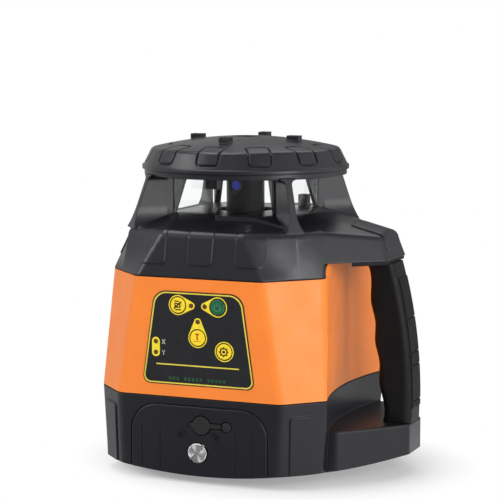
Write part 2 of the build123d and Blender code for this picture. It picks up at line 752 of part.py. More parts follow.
def cover_form(grow):
    """Outer form of the top cover: walls that twist up to a ridge at each corner, a low roof and the arm."""
    wall = frustum(seam_plan(grow), Z_COVER, shoulder_plan(grow), Z_SHOULDER)
    roof = frustum(shoulder_plan(grow), Z_SHOULDER, sill_plan(grow), Z_SILL + grow)
    form = wall + roof
    rising = form.edges().filter_by(lambda e: abs(e.tangent_at(0.5).Z) > 0.7 and e.center().Z < Z_SHOULDER)
    folds = rising.filter_by(lambda e: abs(abs(e.center().X) - abs(e.center().Y)) > 1)
    shoulder = form.edges().filter_by(lambda e: abs(e.center().Z - Z_SHOULDER) < 0.5)
    form = fillet(folds + shoulder, SHOULDER_ROUND + grow)
    return form + arm_form(grow)


def cover_pads():
    """Raised panels that wrap over the shoulder on the front, back and left sides, and one on the arm."""
    form = cover_form(PAD_RAISE)
    low = Z_COVER + PAD_BOTTOM
    height = PAD_TOP - PAD_BOTTOM
    spans = [(-PAD_CENTRE_HALF, PAD_CENTRE_HALF)]
    spans += [(PAD_OUTER_INSIDE, PAD_OUTER_OUTSIDE), (-PAD_OUTER_OUTSIDE, -PAD_OUTER_INSIDE)]
    pads = []
    for start, end in spans:
        shape = Pos((start + end) / 2, low + height / 2) * RectangleRounded(end - start, height, PAD_CORNER)
        key = front_plate(shape, FRONT - 5, FRONT + 14)
        pads.append(form & key)
        pads.append(form & mirror(key, about=Plane.XZ))
        pads.append(form & (Rot(0, 0, -90) * key))
    arm_start = SILL_HALF + ARM_PAD_START
    key = block(arm_start, REACH, -ARM_PAD_HALF, ARM_PAD_HALF, Z_ARM + ARM_PAD_RISE, REACH)
    pads.append(form & key)
    return pads


def fin(angle):
    """Radial fin from the cover to the guard ring, spreading in curves at its foot and under the ring."""
    outer = RING_RADIUS + FIN_PROUD
    inner = outer - FIN_DEPTH
    foot = outer + FIN_LEAN * (Z_RING + 1 - Z_SHOULDER)
    sill_inner = inner + FIN_LEAN * (Z_RING - Z_SILL)
    half = FIN_THICK / 2
    profile = [(inner, Z_RING + 1), (outer, Z_RING + 1), (foot, Z_SHOULDER), (foot - 4, Z_SHOULDER - 2)]
    profile += [(sill_inner, Z_SILL - 1.5)]
    side = Face(Wire.make_polygon([(r, 0, z) for r, z in profile]))
    plate = extrude(side, amount=half, dir=(0, 1, 0), both=True)
    low = Z_SHOULDER - 2
    bend = Z_SHOULDER + FLARE_HEIGHT
    neck = Z_RING - FIN_TOP_ROUND
    wide = half + FIN_TOP_ROUND
    edges = []
    for hand in (-1, 1):
        edges.append(TangentArc((0, hand * half, bend), (0, hand * FLARE_HALF, low), tangent=(0, 0, -1)))
        edges.append(Line((0, hand * half, bend), (0, hand * half, neck)))
        edges.append(TangentArc((0, hand * half, neck), (0, hand * wide, Z_RING), tangent=(0, 0, 1)))
        edges.append(Line((0, hand * wide, Z_RING), (0, hand * wide, Z_RING + 1)))
    edges.append(Line((0, -wide, Z_RING + 1), (0, wide, Z_RING + 1)))
    edges.append(Line((0, -FLARE_HALF, low), (0, FLARE_HALF, low)))
    spread = extrude(Pos(sqrt(2) * PANE_RADIUS + 1, 0, 0) * make_face(edges), amount=REACH, dir=(1, 0, 0))
    spread = spread & extrude(side, amount=2 * FLARE_HALF, dir=(0, 1, 0), both=True)
    return Rot(0, 0, angle) * (plate + spread)


def top_cover():
    form = cover_form(0.0)
    low = Z_COVER
    inner_top = Z_SHOULDER - COVER_WALL
    narrow = shoulder_plan(-COVER_WALL)
    inside = frustum(seam_plan(-COVER_WALL), low, narrow, inner_top)
    inside = inside + frustum(narrow, inner_top, sill_plan(-COVER_WALL), Z_SILL - COVER_WALL)
    arm_room = block(SILL_HALF, REACH, -REACH, REACH, Z_ARM + COVER_WALL, Z_SILL)
    cover = form + cover_pads() - inside - (arm_form(-COVER_WALL) & arm_room)
    cover = cover - (recess(BODY_WALL + SCREW_GAP, low, Z_ARM) & arm_arch(0.0, low))
    for angle in DIAGONALS:
        cover = cover + fin(angle)
        x, y = on_diagonal(BOSS_PLACE, angle)
        cover = cover + rod(BOSS_RADIUS, Z_CHASSIS + CHASSIS_THICK, Z_SHOULDER + SLOPE_HEIGHT / 2, x, y)
        cover = cover - rod(SMALL_SCREW + SEAT_FIT, Z_CHASSIS, Z_CHASSIS + CHASSIS_THICK + HEAD_SINK, x, y)
    ring = rod(RING_RADIUS, Z_RING, Z_CAP) - rod(RING_BORE, Z_RING, Z_CAP)
    cover = cover + ring - rod(ROOF_HOLE, Z_SHOULDER, Z_SILL + 1)
    for angle in QUARTERS:
        x, y = on_diagonal(cap_screw_place(), angle)
        cover = cover - rod(CASE_SCREW + SCREW_GAP, Z_RING - 1, Z_CAP, x, y)
        cover = cover - rod(CASE_HEAD + SCREW_GAP, Z_RING - 1, Z_RING + CASE_HEAD_HEIGHT, x, y)
    return cover


def cap_screw_place():
    return (RING_RADIUS + PANE_RADIUS) / 2


def cap_profile(grow):
    """Outside of the cap from the lip to the crown, as an edge chain in the XZ plane."""
    lip = Z_CAP + CAP_LIP
    shoulder = Z_CAP + CAP_SIDE
    crown = shoulder + CAP_CROWN
    rim = CAP_RADIUS - CAP_LIP_PROUD
    bend = (CAP_SHOULDER + grow, 0, shoulder + grow)
    middle = (bend[0] / 2, 0, shoulder + grow + CAP_CROWN * 0.75)
    dome = ThreePointArc(bend, middle, (0, 0, crown + grow))
    side = Line((rim + grow, 0, lip), (CAP_SHOULDER + grow, 0, shoulder + grow))
    return side, dome, lip, crown + grow, rim + grow


def cap_solid(grow):
    side, dome, lip, crown, rim = cap_profile(grow)
    close = Polyline((0, 0, crown), (0, 0, lip), (rim, 0, lip))
    solid = revolve(make_face([side, dome, close]), Axis.Z)
    bend = solid.edges().filter_by(lambda e: abs(e.center().Z - (Z_CAP + CAP_SIDE + grow)) < 0.1)
    return fillet(bend, CAP_ROUND + grow)


def plaque_key(inset, end_inset):
    """Radial block with rounded corners that marks out one plaque on the cap."""
    half = PLAQUE_WIDTH / 2 - inset
    low = Z_CAP + PLAQUE_FOOT + inset
    key = block(PLAQUE_INNER + end_inset, CAP_RADIUS + 5, -half, half, low, low + 3 * CAP_SIDE)
    lower = key.edges().filter_by(Axis.X).group_by(Axis.Z)[0]
    inner = key.edges().filter_by(Axis.Z).group_by(Axis.X)[0]
    return fillet(lower + inner, PLAQUE_ROUND - inset)


def cap_lug():
    """Sight lug with grooves along it, on the dome."""
    crown = Z_CAP + CAP_SIDE + CAP_CROWN
    start = LUG_RADIUS - LUG_DEPTH / 2
    top = crown + LUG_PROUD
    lug = block(start, start + LUG_DEPTH, -LUG_WIDTH / 2, LUG_WIDTH / 2, crown - LUG_ROOT, top)
    pitch = LUG_WIDTH / (LUG_GROOVES + 1)
    for groove in range(LUG_GROOVES):
        low = (groove + 1) * pitch - LUG_WIDTH / 2 - LUG_GROOVE / 2
        lug = lug - block(0, REACH, low, low + LUG_GROOVE, top - LUG_GROOVE_DEPTH, REACH)
    return lug


def head_cap():
    body = cap_solid(0.0) + rod(CAP_RADIUS, Z_CAP, Z_CAP + CAP_LIP)
    core = cap_solid(-MOAT_DEPTH)
    moat = plaque_key(0.0, 0.0) - plaque_key(MOAT_WIDTH, MOAT_END) - core
    body = body - [Rot(0, 0, step * 360 / PLAQUES) * moat for step in range(PLAQUES)]
    long = CAP_SLOT_LENGTH / 2
    half = CAP_SLOT_WIDTH / 2
    for x, y in CAP_SLOTS:
        body = body - (block(x - long, x + long, y - half, y + half, Z_CAP + CAP_SIDE, REACH) - core)
    body = body + [Rot(0, 0, angle) * cap_lug() for angle in QUARTERS]
    hollow = cap_solid(-CAP_WALL) + rod(RING_RADIUS - 3 * CAP_WALL, Z_CAP, Z_CAP + CAP_LIP)
    hollow = hollow & rod(RING_RADIUS - 3 * CAP_WALL, 0, REACH)
    posts = [rod(BOSS_RADIUS, Z_CAP, Z_CAP + CAP_SIDE, *on_diagonal(cap_screw_place(), a)) for a in QUARTERS]
    seat = aperture_seat()
    tube = rod(APERTURE_RADIUS + APERTURE_RIM, seat - APERTURE_RIM, seat + APERTURE_SINK)
    body = body - hollow + posts + tube
    body = body - rod(APERTURE_RADIUS - APERTURE_RIM, 0, REACH)
    body = body - rod(APERTURE_RADIUS + SEAT_FIT, seat, REACH)
    for angle in QUARTERS:
        x, y = on_diagonal(cap_screw_place(), angle)
        body = body - rod(CASE_SCREW + SEAT_FIT, Z_CAP, Z_CAP + HEAD_SINK, x, y)
    return body


def aperture_seat():
    """Height of the ledge that carries the small window of the plumb beam."""
    return Z_CAP + CAP_SIDE + CAP_CROWN - APERTURE_SINK - APERTURE_GLASS


def top_window():
    return rod(APERTURE_RADIUS, aperture_seat(), aperture_seat() + APERTURE_GLASS)


def cap_screws():
    """Screws up through the guard ring into the cap."""
    places = [on_diagonal(cap_screw_place(), angle) for angle in QUARTERS]
    return [screw(x, y, Z_RING, CASE_HEAD_HEIGHT, CASE_HEAD, CASE_SCREW, Z_CAP + HEAD_SINK - 1)
            for x, y in places]


def screw(x, y, z_head, head_height, head_radius, radius, z_tip):
    """Upright screw with its head at the bottom."""
    return rod(head_radius, z_head, z_head + head_height, x, y) + rod(radius, z_head, z_tip, x, y)


def window_pane(angle):
    """Flat glass pane between two fins, standing on the sill under the guard ring."""
    half = PANE_RADIUS - PANE_THICK - FIN_THICK / sqrt(2) - PANE_GAP
    pane = block(-half, half, -PANE_RADIUS, -PANE_RADIUS + PANE_THICK, Z_SILL, Z_RING)
    return Rot(0, 0, angle) * pane


def remote_sensors():
    """Receivers for the remote control: one on the sill behind, one under the ring at the left."""
    back = PANE_RADIUS - PANE_THICK - PANE_GAP
    half = SENSOR_WIDTH / 2
    top = Z_SILL + SENSOR_HEIGHT
    standing = block(SENSOR_X - half, SENSOR_X + half, back - SENSOR_WIDTH, back, Z_SILL, top)
    half = HOOD_WIDTH / 2
    middle = back * 0.6
    low = Z_RING - HOOD_HEIGHT
    hanging = block(-HOOD_X - half, -HOOD_X + half, middle - half, middle + half, low, Z_RING)
    return [standing, hanging]


def grip_back(offset):
    """Bowed line of the grip's outside, moved outwards by offset."""
    low = FOOT_TOP
    high = Z_ARM - PLATE_THICK
    bow = (FOOT_NOSE_X + GRIP_TOP_OUTER) / 2 + GRIP_BULGE
    middle = (bow + offset, 0, (low + high) / 2)
    return ThreePointArc((FOOT_NOSE_X + offset, 0, low), middle, (GRIP_TOP_OUTER + offset, 0, high))


def pad_strip(deep, proud, gap):
    """Strip along the outside of the grip between two offsets of its bowed line."""
    inner = grip_back(deep)
    outer = grip_back(proud)
    ends = [Line(inner @ 0, outer @ 0), Line(inner @ 1, outer @ 1)]
    half = PAD_HALF + gap
    strip = extrude(make_face([inner, outer] + ends), amount=half, dir=(0, 1, 0), both=True)
    low = FOOT_TOP + PAD_END - gap
    high = Z_ARM - PLATE_THICK - PAD_END + gap
    return strip & block(0, REACH, -half, half, low, high)


def handle_grip():
    """Bar with finger waves inside and a bowed outside, under a flange that meets the arm."""
    low = FOOT_TOP
    high = Z_ARM - PLATE_THICK
    outer = grip_back(0.0)
    steps = 2 * GRIP_FINGERS
    wave = []
    for step in range(steps + 1):
        share = step / steps
        bump = GRIP_WAVE * (1 if step % 2 else -1)
        lean = GRIP_TOP_INNER + share * (GRIP_BOTTOM_INNER - GRIP_TOP_INNER)
        wave.append((lean + bump, 0, high + share * (low - high)))
    inner = Spline(*wave)
    top = Line((GRIP_TOP_OUTER, 0, high), wave[0])
    bottom = Line(wave[-1], (FOOT_NOSE_X, 0, low))
    bar = extrude(make_face([outer, top, inner, bottom]), amount=GRIP_HALF, dir=(0, 1, 0), both=True)
    long_edges = bar.edges().filter_by(lambda e: e.length > (high - low) * 0.9)
    bar = fillet(long_edges, GRIP_EDGE_RADIUS)
    plate = prism(arm_plan(-PLATE_INSET), high, Z_ARM)
    plate = plate & block(PLATE_START_X, REACH, -ARM_ROOT_Y, ARM_ROOT_Y, high, Z_ARM)
    bar = bar + plate - pad_strip(PAD_PROUD - PAD_THICK, PAD_THICK, SEAT_FIT)
    for x, y in grip_screw_places():
        bar = bar - rod(CASE_SCREW + SEAT_FIT, low, low + HEAD_SINK, x, y)
    return bar


def grip_pad():
    """Rubber strip let into the outside of the grip, with a few lines across it."""
    strip = pad_strip(PAD_PROUD - PAD_THICK, PAD_PROUD, 0.0)
    shallow = pad_strip(PAD_PROUD - PAD_LINE_DEPTH, PAD_THICK, 1.0)
    half = PAD_LINE_WIDTH / 2
    for rise in PAD_LINES:
        z = FOOT_TOP + rise
        strip = strip - (shallow & block(0, REACH, -REACH, REACH, z - half, z + half))
    return strip


def grip_screws():
    low = FOOT_TOP - 3 * CASE_HEAD_HEIGHT
    tip = FOOT_TOP + HEAD_SINK - 1
    return [screw(x, y, low, CASE_HEAD_HEIGHT, CASE_HEAD, CASE_SCREW, tip) for x, y in grip_screw_places()]


def case_screws():
    places = [on_diagonal(COLUMN_PLACE, angle) for angle in DIAGONALS]
    tip = Z_BODY + COLUMN_RISE - 3
    return [screw(x, y, Z_BASE + HEAD_SINK, CASE_HEAD_HEIGHT, CASE_HEAD, CASE_SCREW, tip) for x, y in places]


def rubber_feet():
    return [rod(PAD_RADIUS, 0, FOOT_PROUD, *on_diagonal(PAD_PLACE, angle)) for angle in DIAGONALS]


def tripod_insert():
    """Metal bush with the tripod thread, its plate flush with the feet."""
    bush = rod(INSERT_RADIUS, 0, INSERT_HEIGHT) + rod(INSERT_PLATE, 0, FOOT_PROUD)
    return bush - rod(THREAD_RADIUS, 0, INSERT_HEIGHT - 1)


def battery_door():
    door = front_plate(door_sketch(0.0), FRONT - DOOR_PROUD, DOOR_BACK)
    door = fillet(door.edges().group_by(Axis.Y)[0], DOOR_EDGE_ROUND) - underside(0.0)
    door = door - rod_y(LOCK_HEAD + MOVE_GAP, FRONT - REACH, FRONT + LOCK_RECESS, 0, LOCK_HEIGHT)
    door = door - rod_y(LOCK_SHANK + RUN_FIT, FRONT - REACH, DOOR_BACK, 0, LOCK_HEIGHT)
    door = door - rod_y(PLUG_STUB + PLUG_HOLE_GAP, FRONT - REACH, DOOR_BACK, PLUG_X, PLUG_Z) - plug_pocket()
    face = FRONT - DOOR_PROUD
    half = DOOR_LINE_WIDTH / 2
    for x in DOOR_LINES:
        door = door - block(x - half, x + half, face - 1, face + DOOR_LINE_DEPTH, 0, DOOR_LINE_TOP)
    return door


def door_gasket():
    ring = door_sketch(-DOOR_GASKET_WIDTH)
    hole = door_sketch(-2 * DOOR_GASKET_WIDTH)
    back = DOOR_BACK + DOOR_GASKET
    seal = front_plate(ring, DOOR_BACK, back) - front_plate(hole, DOOR_BACK, back)
    return seal - underside(DOOR_GASKET_WIDTH)


def lock_screw():
    """Coin-slot screw that holds the battery door."""
    front = FRONT - DOOR_PROUD - LOCK_HEAD_PROUD
    head = rod_y(LOCK_HEAD, front, FRONT + LOCK_RECESS - MOVE_GAP, 0, LOCK_HEIGHT)
    head = fillet(head.edges().sort_by(Axis.Y)[0], LOCK_EDGE)
    slot = Box(LOCK_SLOT, 2 * LOCK_SLOT_DEPTH, 3 * LOCK_HEAD)
    slot = Pos(0, front, LOCK_HEIGHT) * Rot(0, LOCK_TURN, 0) * slot
    shank = rod_y(LOCK_SHANK, FRONT, DOOR_BACK + LOCK_LENGTH, 0, LOCK_HEIGHT)
    return head - slot + shank


def plug_floor():
    """Floor of the shallow pocket in the door that the plug lies in."""
    return FRONT - DOOR_PROUD + PLUG_POCKET


def plug_back():
    """Plane behind the plug's flap, just clear of the pocket."""
    return plug_floor() - MOVE_GAP


def plug_pocket():
    """Pocket around the plug, its tab, its strap and its anchor."""
    front = FRONT - REACH
    back = plug_floor()
    half = PLUG_STRAP / 2 + PLUG_MARGIN
    room = rod_y(PLUG_RADIUS + PLUG_MARGIN, front, back, PLUG_X, PLUG_Z)
    room = room + rod_y(PLUG_ANCHOR_RADIUS + PLUG_MARGIN, front, back, PLUG_ANCHOR_X, PLUG_Z)
    left = PLUG_X - PLUG_TAB - PLUG_MARGIN
    return room + block(left, PLUG_ANCHOR_X, front, back, PLUG_Z - half, PLUG_Z + half)


def plug_hinge_x():
    return PLUG_ANCHOR_X - PLUG_ANCHOR_RADIUS - PLUG_HINGE_ROOM


def charge_plug():
    """Rubber flap with a stopper, a pull tab and a thin strap that folds at its hinge."""
    back = plug_back()
    front = back - PLUG_THICK
    low = PLUG_Z - PLUG_STRAP / 2
    high = PLUG_Z + PLUG_STRAP / 2
    flap = rod_y(PLUG_RADIUS, front, back, PLUG_X, PLUG_Z)
    flap = flap + block(PLUG_X - PLUG_TAB, PLUG_X, front, back, low, high)
    flap = flap + block(PLUG_X, plug_hinge_x(), back - PLUG_STRAP_THICK, back, low, high)
    flap = flap + rod(PLUG_STRAP_THICK / 2, low, high, plug_hinge_x(), back - PLUG_STRAP_THICK / 2)
    return flap + rod_y(PLUG_STUB, back - PLUG_THICK / 2, back + PLUG_STUB_LENGTH, PLUG_X, PLUG_Z)


def plug_anchor():
    """Button that holds the end of the plug's strap on the door."""
    floor = plug_floor()
    button = rod_y(PLUG_ANCHOR_RADIUS, floor - PLUG_THICK, floor, PLUG_ANCHOR_X, PLUG_Z)
    return fillet(button.edges().sort_by(Axis.Y)[0], PLUG_THICK / 3)


def charge_jack():
    jack = rod_y(JACK_RADIUS, DOOR_BACK, DOOR_BACK + JACK_LENGTH, PLUG_X, PLUG_Z)
    return jack - rod_y(JACK_BORE, DOOR_BACK, DOOR_BACK + JACK_LENGTH - 1.5, PLUG_X, PLUG_Z)


def tray_bounds():
    half = BAY_HALF - BAY_GAP
    low = BAY_BOTTOM + BAY_GAP
    high = BAY_TOP - BAY_GAP
    return half, low, high


def cell_front():
    return BAY_BACK - BAY_GAP - TRAY_WALL - CONTACT_THICK - CELL_GAP - CELL_LENGTH


def battery_tray():
    """Open tray fixed to the back of the door."""
    half, low, high = tray_bounds()
    back = BAY_BACK - BAY_GAP
    wall_front = cell_front() - CELL_GAP - CONTACT_THICK - TRAY_WALL
    tray = block(-half, half, DOOR_BACK, back, low, high)
    room = half - TRAY_WALL
    tray = tray - block(-room, room, wall_front + TRAY_WALL, back - TRAY_WALL, low + TRAY_WALL, REACH)
    return tray - block(-half + TRAY_WALL, half - TRAY_WALL, DOOR_BACK, wall_front, low + TRAY_WALL, REACH)


def cell_places():
    pitch = 2 * CELL_RADIUS + CELL_GAP
    return [(number - (CELLS - 1) / 2) * pitch for number in range(CELLS)]


def battery_cells():
    half, low, high = tray_bounds()
    z = low + TRAY_WALL + CELL_RADIUS
    start = cell_front()
    return [rod_y(CELL_RADIUS, start, start + CELL_LENGTH, x, z) for x in cell_places()]


def battery_contacts():
    """Contact plates at both ends of the cells, on the tray's end walls."""
    half, low, high = tray_bounds()
    z = low + TRAY_WALL
    front = cell_front() - CELL_GAP - CONTACT_THICK
    back = cell_front() + CELL_LENGTH + CELL_GAP
    plates = []
    for x in cell_places():
        for y in (front, back):
            wide = CELL_RADIUS * 0.7
            plates.append(block(x - wide, x + wide, y, y + CONTACT_THICK, z, z + 2 * CELL_RADIUS))
    return plates


def main_board():
    middle = (FRAME_BACK + BAY_BACK) / 2
    z = BAY_TOP + BASE_WALL + STANDOFF
    half = MAIN_BOARD_Y / 2
    return block(-MAIN_BOARD_X / 2, MAIN_BOARD_X / 2, middle - half, middle + half, z, z + BOARD_THICK)


def board_parts():
    """Chips, connectors and a capacitor on the main board."""
    middle = (FRAME_BACK + BAY_BACK) / 2
    z = BAY_TOP + BASE_WALL + STANDOFF + BOARD_THICK
    chip = block(-8, 8, middle - 8, middle + 8, z, z + 1.6)
    driver = block(16, 26, middle - 4, middle + 4, z, z + 1.8)
    plugs = [block(x, x + 12, middle + 16, middle + 22, z, z + 7) for x in (-28, -10, 8)]
    capacitor = rod(4.0, z, z + 10, -24, middle - 12)
    return [chip, driver, capacitor] + plugs


def chassis():
    """Ring plate under the cover's posts, with the two bearing posts of the outer gimbal."""
    top = Z_CHASSIS + CHASSIS_THICK
    plate = rod(CHASSIS_RADIUS, Z_CHASSIS, top) - rod(CHASSIS_BORE, Z_CHASSIS, top)
    inner = GIMBAL_INNER + GIMBAL_WALL + POST_GAP
    for sign in (-1, 1):
        x_low, x_high = sorted((sign * inner, sign * (inner + POST_THICK)))
        half = POST_WIDTH / 2
        plate = plate + block(x_low, x_high, -half, half, Z_CHASSIS, Z_PIVOT + half)
        plate = plate - rod_x(PIN_RADIUS + SEAT_FIT, x_low - 1, x_high + 1, 0, Z_PIVOT)
    for angle in DIAGONALS:
        plate = plate - rod(SMALL_SCREW + SCREW_GAP, Z_CHASSIS, top, *on_diagonal(BOSS_PLACE, angle))
    shelf = block(-DRIVE_RADIUS, DRIVE_RADIUS, -DRIVE_X_PLACE - DRIVE_RADIUS, -CHASSIS_BORE + 2 * DRIVE_RADIUS,
                  Z_CHASSIS, top)
    return plate + (shelf & rod(CHASSIS_RADIUS, Z_CHASSIS, top))


def chassis_screws():
    places = [on_diagonal(BOSS_PLACE, angle) for angle in DIAGONALS]
    tip = Z_CHASSIS + CHASSIS_THICK + HEAD_SINK - 1
    low = Z_CHASSIS - SMALL_HEAD_HEIGHT
    return [screw(x, y, low, SMALL_HEAD_HEIGHT, SMALL_HEAD, SMALL_SCREW, tip) for x, y in places]


def gimbal_pins():
    """Pins fixed in the chassis posts, on which the outer ring tilts about X."""
    outer = GIMBAL_INNER + GIMBAL_WALL + POST_GAP + POST_THICK
    inner = GIMBAL_INNER + GIMBAL_WALL - PIN_GRIP
    return [rod_x(PIN_RADIUS, inner, outer, 0, Z_PIVOT), rod_x(PIN_RADIUS, -outer, -inner, 0, Z_PIVOT)]


def barrel_pins():
    """Pins fixed in the outer ring, on which the barrel tilts about Y."""
    outer = GIMBAL_INNER + GIMBAL_WALL
    inner = GIMBAL_INNER - ARM_GAP - PIN_GRIP
    return [rod_y(PIN_RADIUS, inner, outer, 0, Z_PIVOT), rod_y(PIN_RADIUS, -outer, -inner, 0, Z_PIVOT)]


def fork(place, length, width):
    """Flat lug with an open slot that straddles the waist of a travelling nut; it points along +X."""
    lug = block(0, place + length, -width / 2, width / 2, Z_PIVOT - LUG_THICK / 2, Z_PIVOT + LUG_THICK / 2)
    slot = NUT_WAIST + SLOT_PLAY
    cut = rod(slot, Z_PIVOT - LUG_THICK, Z_PIVOT + LUG_THICK, place)
    cut = cut + block(place, place + length + 1, -slot, slot, Z_PIVOT - LUG_THICK, Z_PIVOT + LUG_THICK)
    return lug - cut


def gimbal_ring():
    low = Z_PIVOT - GIMBAL_HEIGHT / 2
    high = Z_PIVOT + GIMBAL_HEIGHT / 2
    outer = GIMBAL_INNER + GIMBAL_WALL
    ring = rod(outer, low, high)
    lug = Rot(0, 0, -90) * fork(DRIVE_X_PLACE, NUT_WAIST, 4 * NUT_WAIST)
    ring = ring + lug - rod(GIMBAL_INNER, low, high)
    leg_inner = GIMBAL_INNER - DRIVE_BRACKET
    half = DRIVE_RADIUS - 1
    leg = block(leg_inner, outer - PIN_GRIP, -half, half, Z_DRIVE_SHELF - DRIVE_BRACKET, high)
    shelf_low = Z_DRIVE_SHELF - DRIVE_BRACKET
    shelf = block(DRIVE_Y_PLACE - DRIVE_RADIUS, leg_inner + 1, -half, half, shelf_low, Z_DRIVE_SHELF)
    ring = ring + leg + shelf
    ring = ring - rod(SCREW_RADIUS + RUN_FIT, Z_DRIVE_SHELF - DRIVE_BRACKET, Z_DRIVE_SHELF, DRIVE_Y_PLACE)
    pin_inner = outer - PIN_GRIP
    ring = ring - rod_x(PIN_RADIUS + RUN_FIT, pin_inner - RUN_FIT, outer + 1, 0, Z_PIVOT)
    ring = ring - rod_x(PIN_RADIUS + RUN_FIT, -outer - 1, -pin_inner + RUN_FIT, 0, Z_PIVOT)
    return ring - rod_y(PIN_RADIUS + SEAT_FIT, -outer - 1, outer + 1, 0, Z_PIVOT)


def laser_barrel():
    """Tube that carries the laser below and the rotor above, with arms for its pivots and its drive."""
    low = Z_PIVOT - BARREL_BELOW
    top = Z_FLANGE + FLANGE_THICK
    tube = rod(BARREL_RADIUS, low, Z_FLANGE) + rod(FLANGE_RADIUS, Z_FLANGE, top)
    tube = tube + rod(SPIGOT_RADIUS, top, top + SPIGOT_LENGTH)
    reach = GIMBAL_INNER - ARM_GAP
    half = GIMBAL_HEIGHT / 2
    tube = tube + block(-ARM_WIDTH / 2, ARM_WIDTH / 2, -reach, reach, Z_PIVOT - half, Z_PIVOT + half)
    tube = tube + fork(DRIVE_Y_PLACE, NUT_WAIST, 4 * NUT_WAIST)
    ear = MOTOR_PLACE + MOTOR_RADIUS
    tube = tube + block(-ear, 0, -MOTOR_RADIUS, MOTOR_RADIUS, Z_FLANGE, top)
    saddle = VIAL_PLACE - VIAL_RADIUS
    z_x, z_y = vial_levels()
    tube = tube + block(-4, 4, 0, saddle + 1, z_x - VIAL_RADIUS, z_x + VIAL_RADIUS)
    tube = tube + block(-saddle - 1, 0, -4, 4, z_y - VIAL_RADIUS, z_y + VIAL_RADIUS)
    tube = tube - rod_x(VIAL_RADIUS + SEAT_FIT, -REACH, REACH, VIAL_PLACE, z_x)
    tube = tube - rod_y(VIAL_RADIUS + SEAT_FIT, -REACH, REACH, -VIAL_PLACE, z_y)
    tube = tube - rod(BARREL_BORE, low, Z_FLANGE - FLANGE_THICK) - rod(SPIGOT_BORE, low, top + SPIGOT_LENGTH)
    pins = rod_y(PIN_RADIUS + RUN_FIT, reach - PIN_GRIP - RUN_FIT, reach + 1, 0, Z_PIVOT)
    tube = tube - pins - mirror(pins, about=Plane.XZ)
    return tube - rod(MOTOR_SHAFT + RUN_FIT, Z_FLANGE, top, -MOTOR_PLACE)


def vial_levels():
    """Heights of the two level vials on the barrel."""
    return Z_PIVOT - BARREL_BELOW / 2.4, Z_PIVOT - BARREL_BELOW / 1.7


def level_vials():
    z_x, z_y = vial_levels()
    half = VIAL_LENGTH / 2
    across = rod_x(VIAL_RADIUS, -half, half, VIAL_PLACE, z_x)
    along = rod_y(VIAL_RADIUS, -half, half, -VIAL_PLACE, z_y)
    return [across, along]


def laser_diode():
    low = Z_PIVOT - BARREL_BELOW - DIODE_PROUD
    return rod(BARREL_BORE - SEAT_FIT, low, low + DIODE_LENGTH)


def heat_sink():
    """Finned sleeve around the bottom of the barrel."""
    low = Z_PIVOT - BARREL_BELOW
    sleeve = rod(SINK_RADIUS, low, low + SINK_HEIGHT)
    pitch = SINK_HEIGHT / (SINK_FINS + 0.5)
    for number in range(SINK_FINS):
        z = low + (number + 0.75) * pitch
        groove = rod(SINK_RADIUS + 1, z - pitch / 4, z + pitch / 4)
        sleeve = sleeve - (groove - rod(BARREL_RADIUS + 1.5, z - pitch, z + pitch))
    return sleeve - rod(BARREL_RADIUS + SEAT_FIT, low, low + SINK_HEIGHT)


def collimator_lens():
    """Lens, flat below and domed above."""
    low = Z_PIVOT - LENS_DROP
    blank = rod(BARREL_BORE - SEAT_FIT, low, low + LENS_EDGE)
    return blank & Pos(0, 0, low + LENS_EDGE - LENS_CURVE) * Sphere(LENS_CURVE)


def rotor_bearing(z_low):
    race = rod(BEARING_RADIUS, z_low, z_low + BEARING_HEIGHT)
    return race - rod(SPIGOT_RADIUS + SEAT_FIT, z_low, z_low + BEARING_HEIGHT)


def rotor_head():
    """Spinning prism housing with its exit opening and the hub that the pulley sits on."""
    hub_top = Z_PULLEY + PULLEY_HEIGHT + ENCODER_THICK
    head = rod(ROTOR_HUB, Z_PULLEY, hub_top + 1) + rod(ROTOR_RADIUS, hub_top, Z_ROTOR_TOP)
    spigot_end = Z_FLANGE + FLANGE_THICK + SPIGOT_LENGTH + ROTOR_GAP
    head = head - rod(BEARING_RADIUS + RUN_FIT, Z_PULLEY - 1, spigot_end)
    head = head - rod(BEAM_RADIUS, Z_PULLEY, Z_ROTOR_TOP)
    head = head - rod(PRISM_RADIUS, Z_PRISM, Z_PRISM + PRISM_ROOM)
    opening = rod_y(EXIT_RADIUS + SEAT_FIT, -REACH / 10, 0, 0, Z_PRISM + PRISM_ROOM / 2)
    return head - Rot(0, 0, ROTOR_AZIMUTH) * opening


def rotor_prism():
    """Five-sided prism that turns the beam from the axis to the exit opening."""
    half = PRISM_SIZE / 2
    low = Z_PRISM
    cut = PRISM_SIZE * 0.41
    points = [(-half, low), (half - cut / 2, low), (half, low + PRISM_SIZE - cut)]
    points += [(half - cut, low + PRISM_SIZE)]
    points += [(-half, low + PRISM_SIZE)]
    face = Face(Wire.make_polygon([(0, y, z) for y, z in points]))
    return Rot(0, 0, ROTOR_AZIMUTH) * extrude(face, amount=half, dir=(1, 0, 0), both=True)


def exit_window():
    """Coated window in the rotor's exit opening."""
    z = Z_PRISM + PRISM_ROOM / 2
    pane = rod_y(EXIT_RADIUS, -PRISM_RADIUS - EXIT_THICK, -PRISM_RADIUS, 0, z)
    return Rot(0, 0, ROTOR_AZIMUTH) * pane


def grooved_wheel(radius, x):
    wheel = rod(radius, Z_PULLEY, Z_PULLEY + PULLEY_HEIGHT, x)
    low = Z_PULLEY + PULLEY_FLANGE
    high = Z_PULLEY + PULLEY_HEIGHT - PULLEY_FLANGE
    return wheel - (rod(radius + 1, low, high, x) - rod(radius - GROOVE_DEPTH, low, high, x))


def rotor_pulley():
    return grooved_wheel(PULLEY_RADIUS, 0) - rod(ROTOR_HUB + SEAT_FIT, Z_PULLEY, Z_PULLEY + PULLEY_HEIGHT)


def encoder_disc():
    low = Z_PULLEY + PULLEY_HEIGHT
    return rod(ENCODER_RADIUS, low, low + ENCODER_THICK) - rod(ROTOR_HUB + SEAT_FIT, low, low + ENCODER_THICK)


